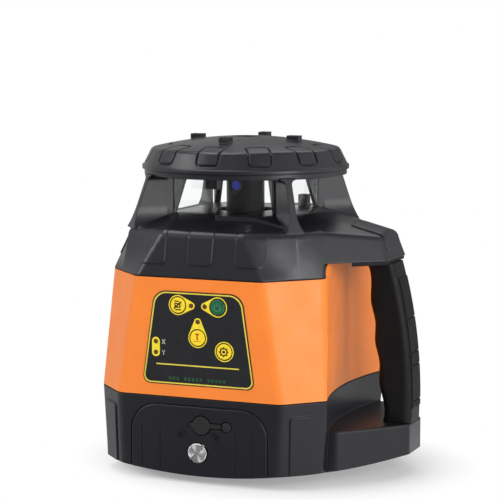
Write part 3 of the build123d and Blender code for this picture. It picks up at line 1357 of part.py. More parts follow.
def motor_pulley():
    shaft = rod(MOTOR_SHAFT, Z_FLANGE - MOTOR_LENGTH / 2, Z_PULLEY + PULLEY_HEIGHT, -MOTOR_PLACE)
    return grooved_wheel(MOTOR_PULLEY_RADIUS, -MOTOR_PLACE) + shaft


def head_motor():
    can = rod(MOTOR_RADIUS, Z_FLANGE - MOTOR_LENGTH, Z_FLANGE, -MOTOR_PLACE)
    return can - rod(MOTOR_SHAFT + RUN_FIT, Z_FLANGE - MOTOR_LENGTH / 2 - RUN_FIT, Z_FLANGE, -MOTOR_PLACE)


def belt_outline(grow):
    """Loop round both pulleys: two circles and the straight runs that touch them."""
    big = PULLEY_RADIUS - GROOVE_DEPTH + grow
    small = MOTOR_PULLEY_RADIUS - GROOVE_DEPTH + grow
    lean = (big - small) / MOTOR_PLACE
    rise = sqrt(1 - lean * lean)
    runs = [(-big * lean, big * rise), (-big * lean, -big * rise)]
    runs += [(-MOTOR_PLACE - small * lean, -small * rise), (-MOTOR_PLACE - small * lean, small * rise)]
    loop = make_face(Polyline(*runs, close=True))
    return loop + Circle(big) + Pos(-MOTOR_PLACE, 0) * Circle(small)


def drive_belt():
    band = belt_outline(BELT_GAP + BELT_THICK) - belt_outline(BELT_GAP)
    return Pos(0, 0, Z_PULLEY + (PULLEY_HEIGHT - BELT_HEIGHT) / 2) * extrude(band, amount=BELT_HEIGHT)


def drive_motor(x, y, z_top):
    can = rod(DRIVE_RADIUS, z_top - DRIVE_LENGTH, z_top, x, y)
    return can - rod(SCREW_RADIUS + RUN_FIT, z_top - DRIVE_LENGTH / 2 - RUN_FIT, z_top, x, y)


def lead_screw(x, y, z_motor):
    return rod(SCREW_RADIUS, z_motor - DRIVE_LENGTH / 2, Z_PIVOT + SCREW_TOP, x, y)


def travel_nut(x, y):
    """Spool-shaped nut whose waist carries the fork of the part that it tilts."""
    half = (LUG_THICK + LUG_PLAY) / 2
    nut = rod(NUT_WAIST, Z_PIVOT - half, Z_PIVOT + half, x, y)
    nut = nut + rod(NUT_FLANGE, Z_PIVOT - half - NUT_LIP, Z_PIVOT - half, x, y)
    nut = nut + rod(NUT_FLANGE, Z_PIVOT + half, Z_PIVOT + half + NUT_LIP, x, y)
    return nut - rod(SCREW_RADIUS + RUN_FIT, Z_PIVOT - SCREW_TOP, Z_PIVOT + SCREW_TOP, x, y)


def drive_x_top():
    """Top of the first levelling motor, which stands on the chassis."""
    return Z_CHASSIS + CHASSIS_THICK + DRIVE_LENGTH


def build_nodes():
    nodes = {}
    nodes["base_housing"] = base_housing()
    nodes["base_gasket"] = base_gasket()
    nodes["body_shell"] = body_shell()
    nodes["cover_gasket"] = cover_gasket()
    nodes["top_cover"] = top_cover()
    nodes["head_cap"] = head_cap()
    nodes["top_window"] = top_window()
    nodes["cap_screws"] = cap_screws()
    nodes["window_panes"] = [window_pane(angle) for angle in QUARTERS]
    nodes["remote_sensors"] = remote_sensors()
    nodes["handle_grip"] = handle_grip()
    nodes["grip_pad"] = grip_pad()
    nodes["grip_screws"] = grip_screws()
    nodes["case_screws"] = case_screws()
    nodes["rubber_feet"] = rubber_feet()
    nodes["tripod_insert"] = tripod_insert()
    nodes["keypad_panel"] = keypad_panel()
    nodes["keypad_board"] = keypad_board()
    nodes["indicator_leds"] = indicator_leds()
    for name, place in KEY_PLACES.items():
        nodes[name] = push_key(*place)
    nodes["battery_door"] = battery_door()
    nodes["door_gasket"] = door_gasket()
    nodes["lock_screw"] = lock_screw()
    nodes["charge_plug"] = charge_plug()
    nodes["plug_anchor"] = plug_anchor()
    nodes["charge_jack"] = charge_jack()
    nodes["battery_tray"] = battery_tray()
    nodes["battery_cells"] = battery_cells()
    nodes["battery_contacts"] = battery_contacts()
    nodes["main_board"] = main_board()
    nodes["board_parts"] = board_parts()
    nodes["chassis"] = chassis()
    nodes["chassis_screws"] = chassis_screws()
    nodes["gimbal_pins"] = gimbal_pins()
    nodes["gimbal_ring"] = gimbal_ring()
    nodes["barrel_pins"] = barrel_pins()
    nodes["laser_barrel"] = laser_barrel()
    nodes["level_vials"] = level_vials()
    nodes["laser_diode"] = laser_diode()
    nodes["heat_sink"] = heat_sink()
    nodes["collimator_lens"] = collimator_lens()
    spigot = Z_FLANGE + FLANGE_THICK + ROTOR_GAP
    nodes["rotor_bearings"] = [rotor_bearing(spigot), rotor_bearing(spigot + BEARING_SPAN)]
    nodes["rotor_head"] = rotor_head()
    nodes["rotor_prism"] = rotor_prism()
    nodes["exit_window"] = exit_window()
    nodes["rotor_pulley"] = rotor_pulley()
    nodes["encoder_disc"] = encoder_disc()
    nodes["head_motor"] = head_motor()
    nodes["motor_pulley"] = motor_pulley()
    nodes["drive_belt"] = drive_belt()
    nodes["tilt_motor_x"] = drive_motor(0, -DRIVE_X_PLACE, drive_x_top())
    nodes["tilt_screw_x"] = lead_screw(0, -DRIVE_X_PLACE, drive_x_top())
    nodes["tilt_nut_x"] = travel_nut(0, -DRIVE_X_PLACE)
    shelf = Z_DRIVE_SHELF - DRIVE_BRACKET
    nodes["tilt_motor_y"] = drive_motor(DRIVE_Y_PLACE, 0, shelf)
    nodes["tilt_screw_y"] = lead_screw(DRIVE_Y_PLACE, 0, shelf)
    nodes["tilt_nut_y"] = travel_nut(DRIVE_Y_PLACE, 0)
    return nodes


os.makedirs("parts", exist_ok=True)
for name, shape in build_nodes().items():
    if isinstance(shape, list):
        shape = Compound(children=[piece.solid() for piece in shape])
    export_step(shape, os.path.join("parts", name + ".step"))
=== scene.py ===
import json
from math import acos, atan2, cos, pi, radians, sin, sqrt

import bpy
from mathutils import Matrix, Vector


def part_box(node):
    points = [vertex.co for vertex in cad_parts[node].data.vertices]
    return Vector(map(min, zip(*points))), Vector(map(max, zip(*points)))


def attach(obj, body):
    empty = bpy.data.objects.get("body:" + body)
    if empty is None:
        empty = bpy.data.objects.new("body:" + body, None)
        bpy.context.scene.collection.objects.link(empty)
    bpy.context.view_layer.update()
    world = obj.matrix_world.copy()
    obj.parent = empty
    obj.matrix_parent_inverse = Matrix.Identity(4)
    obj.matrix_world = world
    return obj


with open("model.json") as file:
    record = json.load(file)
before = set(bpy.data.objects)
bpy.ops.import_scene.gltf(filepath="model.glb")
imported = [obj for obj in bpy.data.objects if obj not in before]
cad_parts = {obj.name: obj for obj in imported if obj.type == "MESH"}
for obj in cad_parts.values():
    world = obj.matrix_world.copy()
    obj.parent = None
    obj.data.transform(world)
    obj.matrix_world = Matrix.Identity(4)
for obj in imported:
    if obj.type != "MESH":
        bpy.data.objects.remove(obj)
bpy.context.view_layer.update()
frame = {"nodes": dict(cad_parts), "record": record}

MM = 0.001
NODES = frame["nodes"]


# Shader building blocks

NOISE_LOW = 0.3
NOISE_HIGH = 0.7


def add_node(tree, kind, **values):
    node = tree.nodes.new(kind)
    for name, value in values.items():
        setattr(node, name, value)
    return node


def noise(tree, coords, scale, detail, stretch):
    """Noise in the part's own frame, scale in features per metre."""
    mapping = add_node(tree, "ShaderNodeMapping")
    mapping.inputs["Scale"].default_value = stretch
    texture = add_node(tree, "ShaderNodeTexNoise")
    texture.inputs["Scale"].default_value = scale
    texture.inputs["Detail"].default_value = detail
    tree.links.new(coords, mapping.inputs["Vector"])
    tree.links.new(mapping.outputs["Vector"], texture.inputs["Vector"])
    return texture.outputs["Fac"]


def spread(tree, source, low, high, start=NOISE_LOW, end=NOISE_HIGH):
    """A value from start to end, by default that of a noise, mapped to the range from low to high."""
    node = add_node(tree, "ShaderNodeMapRange")
    node.inputs["From Min"].default_value = start
    node.inputs["From Max"].default_value = end
    node.inputs["To Min"].default_value = low
    node.inputs["To Max"].default_value = high
    tree.links.new(source, node.inputs["Value"])
    return node.outputs["Result"]


def combine(tree, operation, first, second, clamp=False):
    """Arithmetic on two values."""
    node = add_node(tree, "ShaderNodeMath", operation=operation, use_clamp=clamp)
    tree.links.new(first, node.inputs[0])
    tree.links.new(second, node.inputs[1])
    return node.outputs[0]


def two_tone(tree, factor, dark, light):
    node = add_node(tree, "ShaderNodeMix", data_type="RGBA")
    node.inputs["A"].default_value = (*dark, 1)
    node.inputs["B"].default_value = (*light, 1)
    tree.links.new(factor, node.inputs["Factor"])
    return node.outputs["Result"]


# Materials

CLOUD_DETAIL = 4.0
GLOSS_SCALE = 3.1
GLOSS_DETAIL = 3.0
GRAIN = 1500.0
GRAIN_DETAIL = 2.0
LEAST_ROUGH = 0.02
EDGE = 0.0012
EDGE_SAMPLES = 6


def surface(name, color, rough, vary=0.12, rough_vary=0.06, cloud=60.0, bump=0.08, depth=0.00006,
            stretch=(1, 1, 1), metallic=0.0, specular=0.5, coat=0.0, clear=0.0, ior=1.46, turned=0.0,
            edge=0.0):
    """Moulded, painted, metal or glass surface: cloudy tone, uneven gloss and a fine grain.

    Depth and edge are in metres and cloud is in features per metre. Edge is the radius that edges are
    softened to, and turned is the strength of a lathe's rings round the Y axis.
    """
    material = bpy.data.materials.new(name)
    material.use_nodes = True
    tree = material.node_tree
    shader = tree.nodes["Principled BSDF"]
    coords = add_node(tree, "ShaderNodeTexCoord").outputs["Object"]
    clouds = noise(tree, coords, cloud, CLOUD_DETAIL, stretch)
    fine = noise(tree, coords, GRAIN, GRAIN_DETAIL, stretch)
    dark = tuple(c * (1 - vary) for c in color)
    light = tuple(min(1.0, c * (1 + vary)) for c in color)
    tone = two_tone(tree, spread(tree, clouds, 0.0, 1.0), dark, light)
    tree.links.new(tone, shader.inputs["Base Color"])
    gloss = noise(tree, coords, cloud * GLOSS_SCALE, GLOSS_DETAIL, stretch)
    uneven = spread(tree, gloss, max(LEAST_ROUGH, rough - rough_vary), rough + rough_vary)
    tree.links.new(uneven, shader.inputs["Roughness"])
    relief = add_node(tree, "ShaderNodeBump")
    relief.inputs["Strength"].default_value = bump
    relief.inputs["Distance"].default_value = depth
    tree.links.new(fine, relief.inputs["Height"])
    if edge:
        soft = add_node(tree, "ShaderNodeBevel", samples=EDGE_SAMPLES)
        soft.inputs["Radius"].default_value = edge
        tree.links.new(soft.outputs["Normal"], relief.inputs["Normal"])
    tree.links.new(relief.outputs["Normal"], shader.inputs["Normal"])
    shader.inputs["Metallic"].default_value = metallic
    shader.inputs["Specular IOR Level"].default_value = specular
    shader.inputs["IOR"].default_value = ior
    shader.inputs["Coat Weight"].default_value = coat
    shader.inputs["Transmission Weight"].default_value = clear
    if turned:
        rings = add_node(tree, "ShaderNodeTangent", direction_type="RADIAL", axis="Y")
        tree.links.new(rings.outputs["Tangent"], shader.inputs["Tangent"])
        shader.inputs["Anisotropic"].default_value = turned
    return material


def dark_rim(material, node, inside, outside, color):
    """Darkens a material from one distance to another round the middle of a node, in millimetres."""
    tree = material.node_tree
    target = tree.nodes["Principled BSDF"].inputs["Base Color"]
    low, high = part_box(node)
    away = add_node(tree, "ShaderNodeVectorMath", operation="DISTANCE")
    away.inputs[1].default_value = [(a + b) / 2 for a, b in zip(low, high)]
    tree.links.new(add_node(tree, "ShaderNodeTexCoord").outputs["Object"], away.inputs[0])
    share = spread(tree, away.outputs["Value"], 0.0, 1.0, inside * MM, outside * MM)
    mix = add_node(tree, "ShaderNodeMix", data_type="RGBA")
    mix.inputs["B"].default_value = (*color, 1)
    tree.links.new(share, mix.inputs["Factor"])
    tree.links.new(target.links[0].from_socket, mix.inputs["A"])
    tree.links.new(mix.outputs["Result"], target)


# Plastics and rubber
BLACK = surface("black_moulding", (0.0112, 0.0116, 0.0152), 0.34, vary=0.08, rough_vary=0.025, bump=0.35,
                depth=0.00012, specular=0.4, edge=EDGE)
COVER = surface("cover_moulding", (0.012, 0.0125, 0.0165), 0.3, vary=0.08, rough_vary=0.02, bump=0.12,
                depth=0.0001, specular=0.5, edge=EDGE)
# Grip: a darker copy of the cover plastic. Part of this darkness is painted shade, standing for the shadow on
# the grip's front where it faces the body.
GRIP_PAINTED_SHADE = surface("grip_moulding_painted_shade", (0.006, 0.006, 0.0068), 0.45, vary=0.15, bump=0.4, depth=0.00012,
               specular=0.2, edge=EDGE)
ORANGE = surface("orange_moulding", (0.87, 0.225, 0.03), 0.36, vary=0.05, cloud=25.0, bump=0.2,
                 depth=0.00008, specular=0.4)
RUBBER = surface("black_rubber", (0.009, 0.009, 0.0095), 0.66, vary=0.2, bump=0.5, depth=0.00015,
                 specular=0.2)
PLUG = surface("plug_rubber", (0.019, 0.019, 0.0205), 0.5, vary=0.15, bump=0.3, depth=0.0001,
               specular=0.35, edge=EDGE)
CHIP = surface("component_plastic", (0.012, 0.012, 0.013), 0.5, vary=0.2, bump=0.3, specular=0.3)
NYLON = surface("white_nylon", (0.78, 0.77, 0.72), 0.42, vary=0.04, bump=0.15)

# Glass and lamps
GLASS = surface("clear_pane", (0.98, 0.99, 0.99), 0.03, vary=0.008, rough_vary=0.01, bump=0.01,
                clear=1.0, ior=1.18)
BLUE_GLASS = surface("blue_coating", (0.025, 0.04, 0.6), 0.15, vary=0.25, bump=0.02, specular=0.2, coat=0.1)
dark_rim(BLUE_GLASS, "exit_window", inside=2.7, outside=3.3, color=(0.004, 0.004, 0.008))
LED = surface("lamp_lens", (0.1, 0.045, 0.01), 0.2, vary=0.3, cloud=600.0, bump=0.05, coat=0.6)

# Keypad film, keys and prints
PANEL = surface("keypad_film", (0.0175, 0.018, 0.0205), 0.42, vary=0.12, cloud=120.0, bump=0.3,
                depth=0.00008, specular=0.25)
KEY_YELLOW = surface("yellow_key", (0.86, 0.63, 0.015), 0.33, vary=0.06, cloud=200.0, bump=0.1)
KEY_GREEN = surface("green_key", (0.01, 0.105, 0.045), 0.3, vary=0.2, cloud=250.0, bump=0.1)
YELLOW = surface("yellow_print", (0.84, 0.66, 0.02), 0.45, vary=0.08, cloud=300.0, bump=0.1)
PALE_YELLOW = surface("pale_print", (0.68, 0.56, 0.06), 0.45, vary=0.08, cloud=300.0, bump=0.1)
GREEN_PRINT = surface("green_print", (0.012, 0.075, 0.03), 0.45, vary=0.3, cloud=500.0, bump=0.1)
ICON = surface("dark_print", (0.02, 0.016, 0.006), 0.5, vary=0.2, cloud=400.0, bump=0.1)
ICON_RED = surface("rust_print", (0.5, 0.075, 0.008), 0.5, vary=0.2, cloud=400.0, bump=0.1)
ICON_PALE = surface("pale_green_print", (0.06, 0.24, 0.11), 0.45, vary=0.2, cloud=400.0, bump=0.1)
ICON_WHITE = surface("cream_print", (0.42, 0.42, 0.36), 0.5, vary=0.1, cloud=400.0, bump=0.1)

# Boards and cells
BOARD = surface("circuit_board", (0.015, 0.11, 0.04), 0.4, vary=0.3, cloud=250.0, bump=0.2)
WRAP = surface("cell_wrapper", (0.03, 0.09, 0.32), 0.28, vary=0.12, cloud=80.0, bump=0.05, coat=0.4)

# Metals
STEEL = surface("turned_steel", (0.55, 0.56, 0.58), 0.3, vary=0.08, bump=0.25, stretch=(1, 1, 14),
                metallic=1.0)
CHROME = surface("chromed_steel", (0.93, 0.935, 0.945), 0.52, vary=0.08, rough_vary=0.03, cloud=160.0,
                 bump=0.1, metallic=1.0, turned=1.0)
ALUMINIUM = surface("machined_aluminium", (0.68, 0.69, 0.71), 0.34, vary=0.06, bump=0.25,
                    stretch=(1, 1, 9), metallic=1.0)
ANODISED = surface("black_anodised", (0.004, 0.004, 0.0045), 0.3, vary=0.12, rough_vary=0.03, bump=0.06,
                   stretch=(1, 1, 8), specular=0.12)
BRASS = surface("turned_brass", (0.72, 0.5, 0.18), 0.28, vary=0.08, bump=0.25, stretch=(1, 1, 10),
                metallic=1.0)

BY_SLOT = {
    "black_plastic": BLACK, "orange_plastic": ORANGE, "cover_plastic": COVER, "rubber": RUBBER,
    "clear_glass": GLASS, "coated_glass": BLUE_GLASS, "keypad": PANEL, "key_yellow": KEY_YELLOW,
    "key_green": KEY_GREEN, "led_lens": LED, "board": BOARD, "chips": CHIP, "cell_wrap": WRAP,
    "steel": STEEL, "chrome": CHROME, "aluminium": ALUMINIUM, "dark_metal": ANODISED, "brass": BRASS,
    "nylon": NYLON,
}
# The handle grip takes the darker grip plastic, which holds painted shade.
BY_NODE = {"handle_grip": GRIP_PAINTED_SHADE, "charge_plug": PLUG, "plug_anchor": PLUG}

for entry in frame["record"]["subparts"]:
    material = BY_NODE.get(entry["node"], BY_SLOT[entry["material_slot"]])
    for place in NODES[entry["node"]].material_slots:
        place.material = material


# Smooth shading of round faces

SMOOTH_LIMIT = 24
WELD = 1e-6


def smooth_by_angle(limit):
    """Geometry modifier: round surfaces shade smoothly, edges sharper than the limit stay crisp."""
    group = bpy.data.node_groups.new("smooth_by_angle", "GeometryNodeTree")
    group.interface.new_socket("Geometry", in_out="INPUT", socket_type="NodeSocketGeometry")
    group.interface.new_socket("Geometry", in_out="OUTPUT", socket_type="NodeSocketGeometry")
    start = add_node(group, "NodeGroupInput")
    weld = add_node(group, "GeometryNodeMergeByDistance")
    weld.inputs["Distance"].default_value = WELD
    clean = add_node(group, "GeometryNodeRemoveAttribute")
    clean.inputs["Name"].default_value = "custom_normal"
    smooth = add_node(group, "GeometryNodeSetShadeSmooth", domain="FACE")
    crisp = add_node(group, "GeometryNodeSetShadeSmooth", domain="EDGE")
    crisp.inputs["Shade Smooth"].default_value = False
    fold = add_node(group, "GeometryNodeInputMeshEdgeAngle")
    sharper = add_node(group, "FunctionNodeCompare", operation="GREATER_THAN")
    sharper.inputs["B"].default_value = radians(limit)
    end = add_node(group, "NodeGroupOutput")
    chain = [start, clean, weld, smooth, crisp, end]
    for before, after in zip(chain, chain[1:]):
        group.links.new(before.outputs["Geometry"], after.inputs["Geometry"])
    group.links.new(fold.outputs["Unsigned Angle"], sharper.inputs["A"])
    group.links.new(sharper.outputs["Result"], crisp.inputs["Selection"])
    return group


SMOOTH = smooth_by_angle(SMOOTH_LIMIT)
for node in NODES.values():
    node.modifiers.new("smooth", "NODES").node_group = SMOOTH
    flats = node.modifiers.new("flats", "WEIGHTED_NORMAL")
    flats.mode = "FACE_AREA"
    flats.keep_sharp = True


# Outlines on the front, as points of X and Z in millimetres

def circle(x, z, radius, count=56):
    angles = [2 * pi * i / count for i in range(count)]
    return [(x + radius * cos(a), z + radius * sin(a)) for a in angles]


def arc(x, z, radius, start, end, count=24):
    angles = [radians(start + (end - start) * i / count) for i in range(count + 1)]
    return [(x + radius * cos(a), z + radius * sin(a)) for a in angles]


def rectangle(left, low, right, high):
    return [(left, low), (right, low), (right, high), (left, high)]


def shifted(points, x, z):
    return [(x + across, z + up) for across, up in points]


def teardrop(x, z, radius, tip_x, tip_z, tip_radius, big_count=48, small_count=24):
    """Outline round two circles and the straight lines that touch both."""
    distance = sqrt((tip_x - x) ** 2 + (tip_z - z) ** 2)
    heading = atan2(tip_z - z, tip_x - x)
    touch = acos((radius - tip_radius) / distance)
    big = [heading + touch + (2 * pi - 2 * touch) * i / big_count for i in range(big_count + 1)]
    small = [heading - touch + 2 * touch * i / small_count for i in range(small_count + 1)]
    points = [(x + radius * cos(a), z + radius * sin(a)) for a in big]
    return points + [(tip_x + tip_radius * cos(a), tip_z + tip_radius * sin(a)) for a in small]


def rounded(corners, radii, count=10):
    """Polygon with an arc at each corner."""
    points = []
    total = len(corners)
    for i, radius in enumerate(radii):
        here = Vector(corners[i])
        before = (Vector(corners[i - 1]) - here).normalized()
        after = (Vector(corners[(i + 1) % total]) - here).normalized()
        half = before.angle(after) / 2
        middle = here + (before + after).normalized() * (radius / sin(half))
        reach = radius / (sin(half) / cos(half))
        start = here + before * reach - middle
        end = here + after * reach - middle
        first = atan2(start.y, start.x)
        turn = atan2(end.y, end.x) - first
        turn = (turn + pi) % (2 * pi) - pi
        for step in range(count + 1):
            angle = first + turn * step / count
            points.append((middle.x + radius * cos(angle), middle.y + radius * sin(angle)))
    return points


def ribbon(path, width):
    """Closed outline of a line of even width along an open path."""
    points = [Vector(p) for p in path]
    left, right = [], []
    for i, point in enumerate(points):
        ahead = points[min(i + 1, len(points) - 1)] - points[max(i - 1, 0)]
        side = Vector((-ahead.y, ahead.x)).normalized() * width / 2
        left.append(tuple(point + side))
        right.append(tuple(point - side))
    return left + right[::-1]


def front_shape(name, loops, y_back, thick, material, body):
    """Plate of even thickness on a plane of constant Y; loops inside loops are holes. Millimetres."""
    curve = bpy.data.curves.new(name, "CURVE")
    curve.dimensions = "2D"
    curve.fill_mode = "BOTH"
    curve.extrude = thick * MM / 2
    for loop in loops:
        spline = curve.splines.new("POLY")
        spline.points.add(len(loop) - 1)
        for point, (x, z) in zip(spline.points, loop):
            point.co = (x * MM, z * MM, 0, 1)
        spline.use_cyclic_u = True
    holder = bpy.data.objects.new(name, curve)
    bpy.context.scene.collection.objects.link(holder)
    bpy.context.view_layer.update()
    filled = holder.evaluated_get(bpy.context.evaluated_depsgraph_get())
    mesh = bpy.data.meshes.new_from_object(filled)
    bpy.data.objects.remove(holder)
    bpy.data.curves.remove(curve)
    middle = y_back * MM - thick * MM / 2
    for vertex in mesh.vertices:
        x, z, out = vertex.co
        vertex.co = (x, middle - out, z)
    mesh.materials.clear()
    mesh.materials.append(material)
    piece = bpy.data.objects.new(name, mesh)
    bpy.context.scene.collection.objects.link(piece)
    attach(piece, body)


def front_of(node):
    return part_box(node)[0][1] / MM


def key_place(key):
    """X and Z of the middle of a key."""
    low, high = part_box(key + "_key")
    return (low[0] + high[0]) / 2 / MM, (low[2] + high[2]) / 2 / MM


# Prints on the keypad film

PRINT = 0.12
THIN_PRINT = PRINT * 0.8
PANEL_Y = front_of("keypad_panel")
panel_low, panel_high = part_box("keypad_panel")
BOTTOM = panel_low[2] / MM
TOP = panel_high[2] / MM
BOTTOM_HALF = 36.6
TOP_HALF = 28.5
BOTTOM_CORNER = 4.5
TOP_CORNER = 9.0
CORNER_SHRINK = 0.6
BORDER_OUTSIDE = 0.55
BORDER_INSIDE = 1.35

RING = 6.05
RING_INSIDE = 5.45
LED_HOLE = 1.47
LED_COUNT = 32
DROP_TIP = 2.25
DROP_LAMPS = {"mode": (-4.2, 48.6), "power": (4.6, 48.6), "tilt": (0.0, 39.1)}
KEYS = {key: key_place(key) for key in ("mode", "power", "tilt", "speed")}

PILL_X = -27.5
PILL_LOW = BOTTOM + 19.2
PILL_HIGH = BOTTOM + 25.8
PILL_RADIUS = 2.6

RULE_Z = BOTTOM + 12.2
RULE_LEFT = -27.3
RULE_RIGHT = 26.6
RULE_WIDTH = 0.8

# Axis marks beside the two lamps: strokes that cross differ in thickness, so that no faces coincide
MARK_X = -22.4
MARK_WIDTH = 0.5
AXIS_MARKS = {
    "axis_mark_x_a": (PILL_HIGH, [(-0.95, -1.4), (0.95, 1.4)], PRINT),
    "axis_mark_x_b": (PILL_HIGH, [(0.95, -1.4), (-0.95, 1.4)], THIN_PRINT),
    "axis_mark_y_a": (PILL_LOW, [(0, -1.4), (0, 0.1)], PRINT),
    "axis_mark_y_b": (PILL_LOW, [(-0.9, 1.4), (0, 0), (0.9, 1.4)], THIN_PRINT),
}

TICK = rectangle(-0.8, -1.0, 0.8, 1.0)
TICK_Z = BOTTOM + 3.9
TICK_LEFT = -18.2
TICK_PITCH = 2.52
TICK_PLACES = 15
TICK_GAPS = (3, 9)


def film_print(name, loops, material, thick=PRINT):
    front_shape(name, loops, PANEL_Y, thick, material, "housing")


def keypad_outline(inset):
    shrink = inset * CORNER_SHRINK
    low, high = BOTTOM_CORNER - shrink, TOP_CORNER - shrink
    corners = [(-BOTTOM_HALF + inset, BOTTOM + inset), (BOTTOM_HALF - inset, BOTTOM + inset)]
    corners += [(TOP_HALF - inset, TOP - inset), (-TOP_HALF + inset, TOP - inset)]
    return rounded(corners, [low, low, high, high])


film_print("keypad_border", [keypad_outline(BORDER_OUTSIDE), keypad_outline(BORDER_INSIDE)], PALE_YELLOW)

for key, (lamp_x, rise) in DROP_LAMPS.items():
    lamp_z = BOTTOM + rise
    drop = teardrop(*KEYS[key], RING, lamp_x, lamp_z, DROP_TIP)
    holes = [circle(*KEYS[key], RING_INSIDE), circle(lamp_x, lamp_z, LED_HOLE, LED_COUNT)]
    film_print(key + "_drop", [drop] + holes, YELLOW)
speed_ring = [circle(*KEYS["speed"], RING), circle(*KEYS["speed"], RING_INSIDE)]
film_print("speed_ring", speed_ring, YELLOW)

pill = arc(PILL_X, PILL_HIGH, PILL_RADIUS, 0, 180) + arc(PILL_X, PILL_LOW, PILL_RADIUS, 180, 360)
pill_holes = [circle(PILL_X, z, LED_HOLE, LED_COUNT) for z in (PILL_LOW, PILL_HIGH)]
film_print("lamp_pill", [pill] + pill_holes, YELLOW)
film_print("keypad_rule", [ribbon([(RULE_LEFT, RULE_Z), (RULE_RIGHT, RULE_Z)], RULE_WIDTH)], PALE_YELLOW)

for name, (z, path, thick) in AXIS_MARKS.items():
    film_print(name, [ribbon(shifted(path, MARK_X, z), MARK_WIDTH)], ICON_WHITE, thick=thick)

tick_numbers = [number for number in range(TICK_PLACES) if number not in TICK_GAPS]
ticks = [shifted(TICK, TICK_LEFT + number * TICK_PITCH, TICK_Z) for number in tick_numbers]
film_print("keypad_ticks", ticks, GREEN_PRINT)


# Signs on the keys, drawn round the middle of each key in millimetres

SIGN = 0.1
TILT_FEET = (-1.9, -0.65, 0.6, 1.85)
TILT_FOOT = [(-0.42, -1.9), (0.42, -1.9)]
RAYS = 8
RAY_START = 2.4
RAY_END = 3.1
RAY_WIDTH = 0.7


def key_sign(key, part, loops, material):
    name = key + "_sign_" + part
    placed = [shifted(loop, *KEYS[key]) for loop in loops]
    front_shape(name, placed, front_of(key + "_key"), SIGN, material, key + "_button")


key_sign("mode", "box", [rectangle(-1.9, -1.5, 1.9, 1.3), rectangle(-1.2, -0.8, 1.2, 0.6)], ICON)
key_sign("mode", "slash", [ribbon([(-2.4, -2.2), (2.4, 2.2)], 0.8)], ICON)
key_sign("mode", "base", [ribbon([(-1.5, -2.7), (2.3, -2.7)], 0.7)], ICON)
key_sign("mode", "top", [ribbon([(-1.9, 2.4), (0.9, 2.4)], 0.7)], ICON)

key_sign("power", "ring", [ribbon(arc(0, -0.2, 2.1, 125, 415, 36), 0.5)], ICON_PALE)
key_sign("power", "bar", [ribbon([(0, 0.3), (0, 2.6)], 0.5)], ICON_PALE)

key_sign("tilt", "bar", [ribbon([(0, -1.2), (0, 2.2)], 0.95)], ICON_RED)
key_sign("tilt", "cap", [ribbon([(-1.25, 2.4), (1.25, 2.4)], 0.7)], ICON_RED)
key_sign("tilt", "feet", [ribbon(shifted(TILT_FOOT, x, 0), 0.45) for x in TILT_FEET], ICON_RED)

key_sign("speed", "ring", [circle(0, 0, 2.5), circle(0, 0, 1.75)], ICON)
key_sign("speed", "dot", [circle(0, 0, 0.85, 24)], ICON)
ray_ends = zip(circle(0, 0, RAY_START, RAYS), circle(0, 0, RAY_END, RAYS))
key_sign("speed", "rays", [ribbon(ends, RAY_WIDTH) for ends in ray_ends], ICON)


# Relief on the battery door

DOOR_Y = front_of("battery_door")
ARROW_RAISE = 0.6
ARROW_WIDTH = 1.5
ARROW_HEAD = 2.4
ARROW_HEAD_HALF = 2.0
ARROW_MIDDLE_Z = 17.5
ARROW_RADIUS = 16.5
ARROW_STEPS = 8
ARROW_ANGLES = {"left": (122, 134), "right": (58, 46)}


def door_relief(name, loop):
    front_shape(name, [loop], DOOR_Y, ARROW_RAISE, RUBBER, "battery_drawer")


def turn_arrow(name, path):
    """Raised arrow beside the lock: a bent bar with a point at its outer end."""
    door_relief("door_arrow_" + name, ribbon(path, ARROW_WIDTH))
    tip = Vector(path[-1])
    ahead = (tip - Vector(path[-2])).normalized()
    across = Vector((-ahead.y, ahead.x)) * ARROW_HEAD_HALF
    head = [tuple(tip + ahead * ARROW_HEAD), tuple(tip + across), tuple(tip - across)]
    door_relief("door_arrow_head_" + name, head)


for name, (start, end) in ARROW_ANGLES.items():
    turn_arrow(name, arc(0, ARROW_MIDDLE_Z, ARROW_RADIUS, start, end, ARROW_STEPS))


# Stage, in metres: white floor and surround to the camera, and a room with bright side walls when mirrored

MIRROR_LEFT = 0.65
MIRROR_MIDDLE = 0.25
MIRROR_RIGHT = 1.0
WALL_START = 0.3
WALL_FULL = 0.9
FLOOR_HALF = 6.0
FLOOR_PAPER = 0.9
SHADE_HALF_X = 0.094
SHADE_HALF_Y = 0.078
SHADE_MIDDLE_X = 0.0188
SHADE_INSIDE = 0.95
SHADE_OUTSIDE = 1.4
SHADE_WHITE = 0.3
AMBIENT = 0.3


def side_light(tree, direction):
    """Strength of the mirrored surround: bright towards the side walls, dimmer to the front and the back."""
    heading = add_node(tree, "ShaderNodeSeparateXYZ")
    tree.links.new(direction, heading.inputs[0])
    sideways = heading.outputs["X"]
    left = spread(tree, sideways, MIRROR_LEFT - MIRROR_MIDDLE, 0.0, -WALL_FULL, -WALL_START)
    right = spread(tree, sideways, MIRROR_MIDDLE, MIRROR_RIGHT, WALL_START, WALL_FULL)
    return combine(tree, "ADD", left, right)


def seen_directly(tree, path):
    """1 for rays that come straight from the camera or through glass."""
    return combine(tree, "MAXIMUM", path.outputs["Is Camera Ray"], path.outputs["Is Transmission Ray"])


def mirror_only(tree, path):
    """1 for rays that a surface has mirrored, 0 for those that came straight or through glass."""
    through = path.outputs["Is Transmission Ray"]
    return combine(tree, "SUBTRACT", path.outputs["Is Glossy Ray"], through, clamp=True)


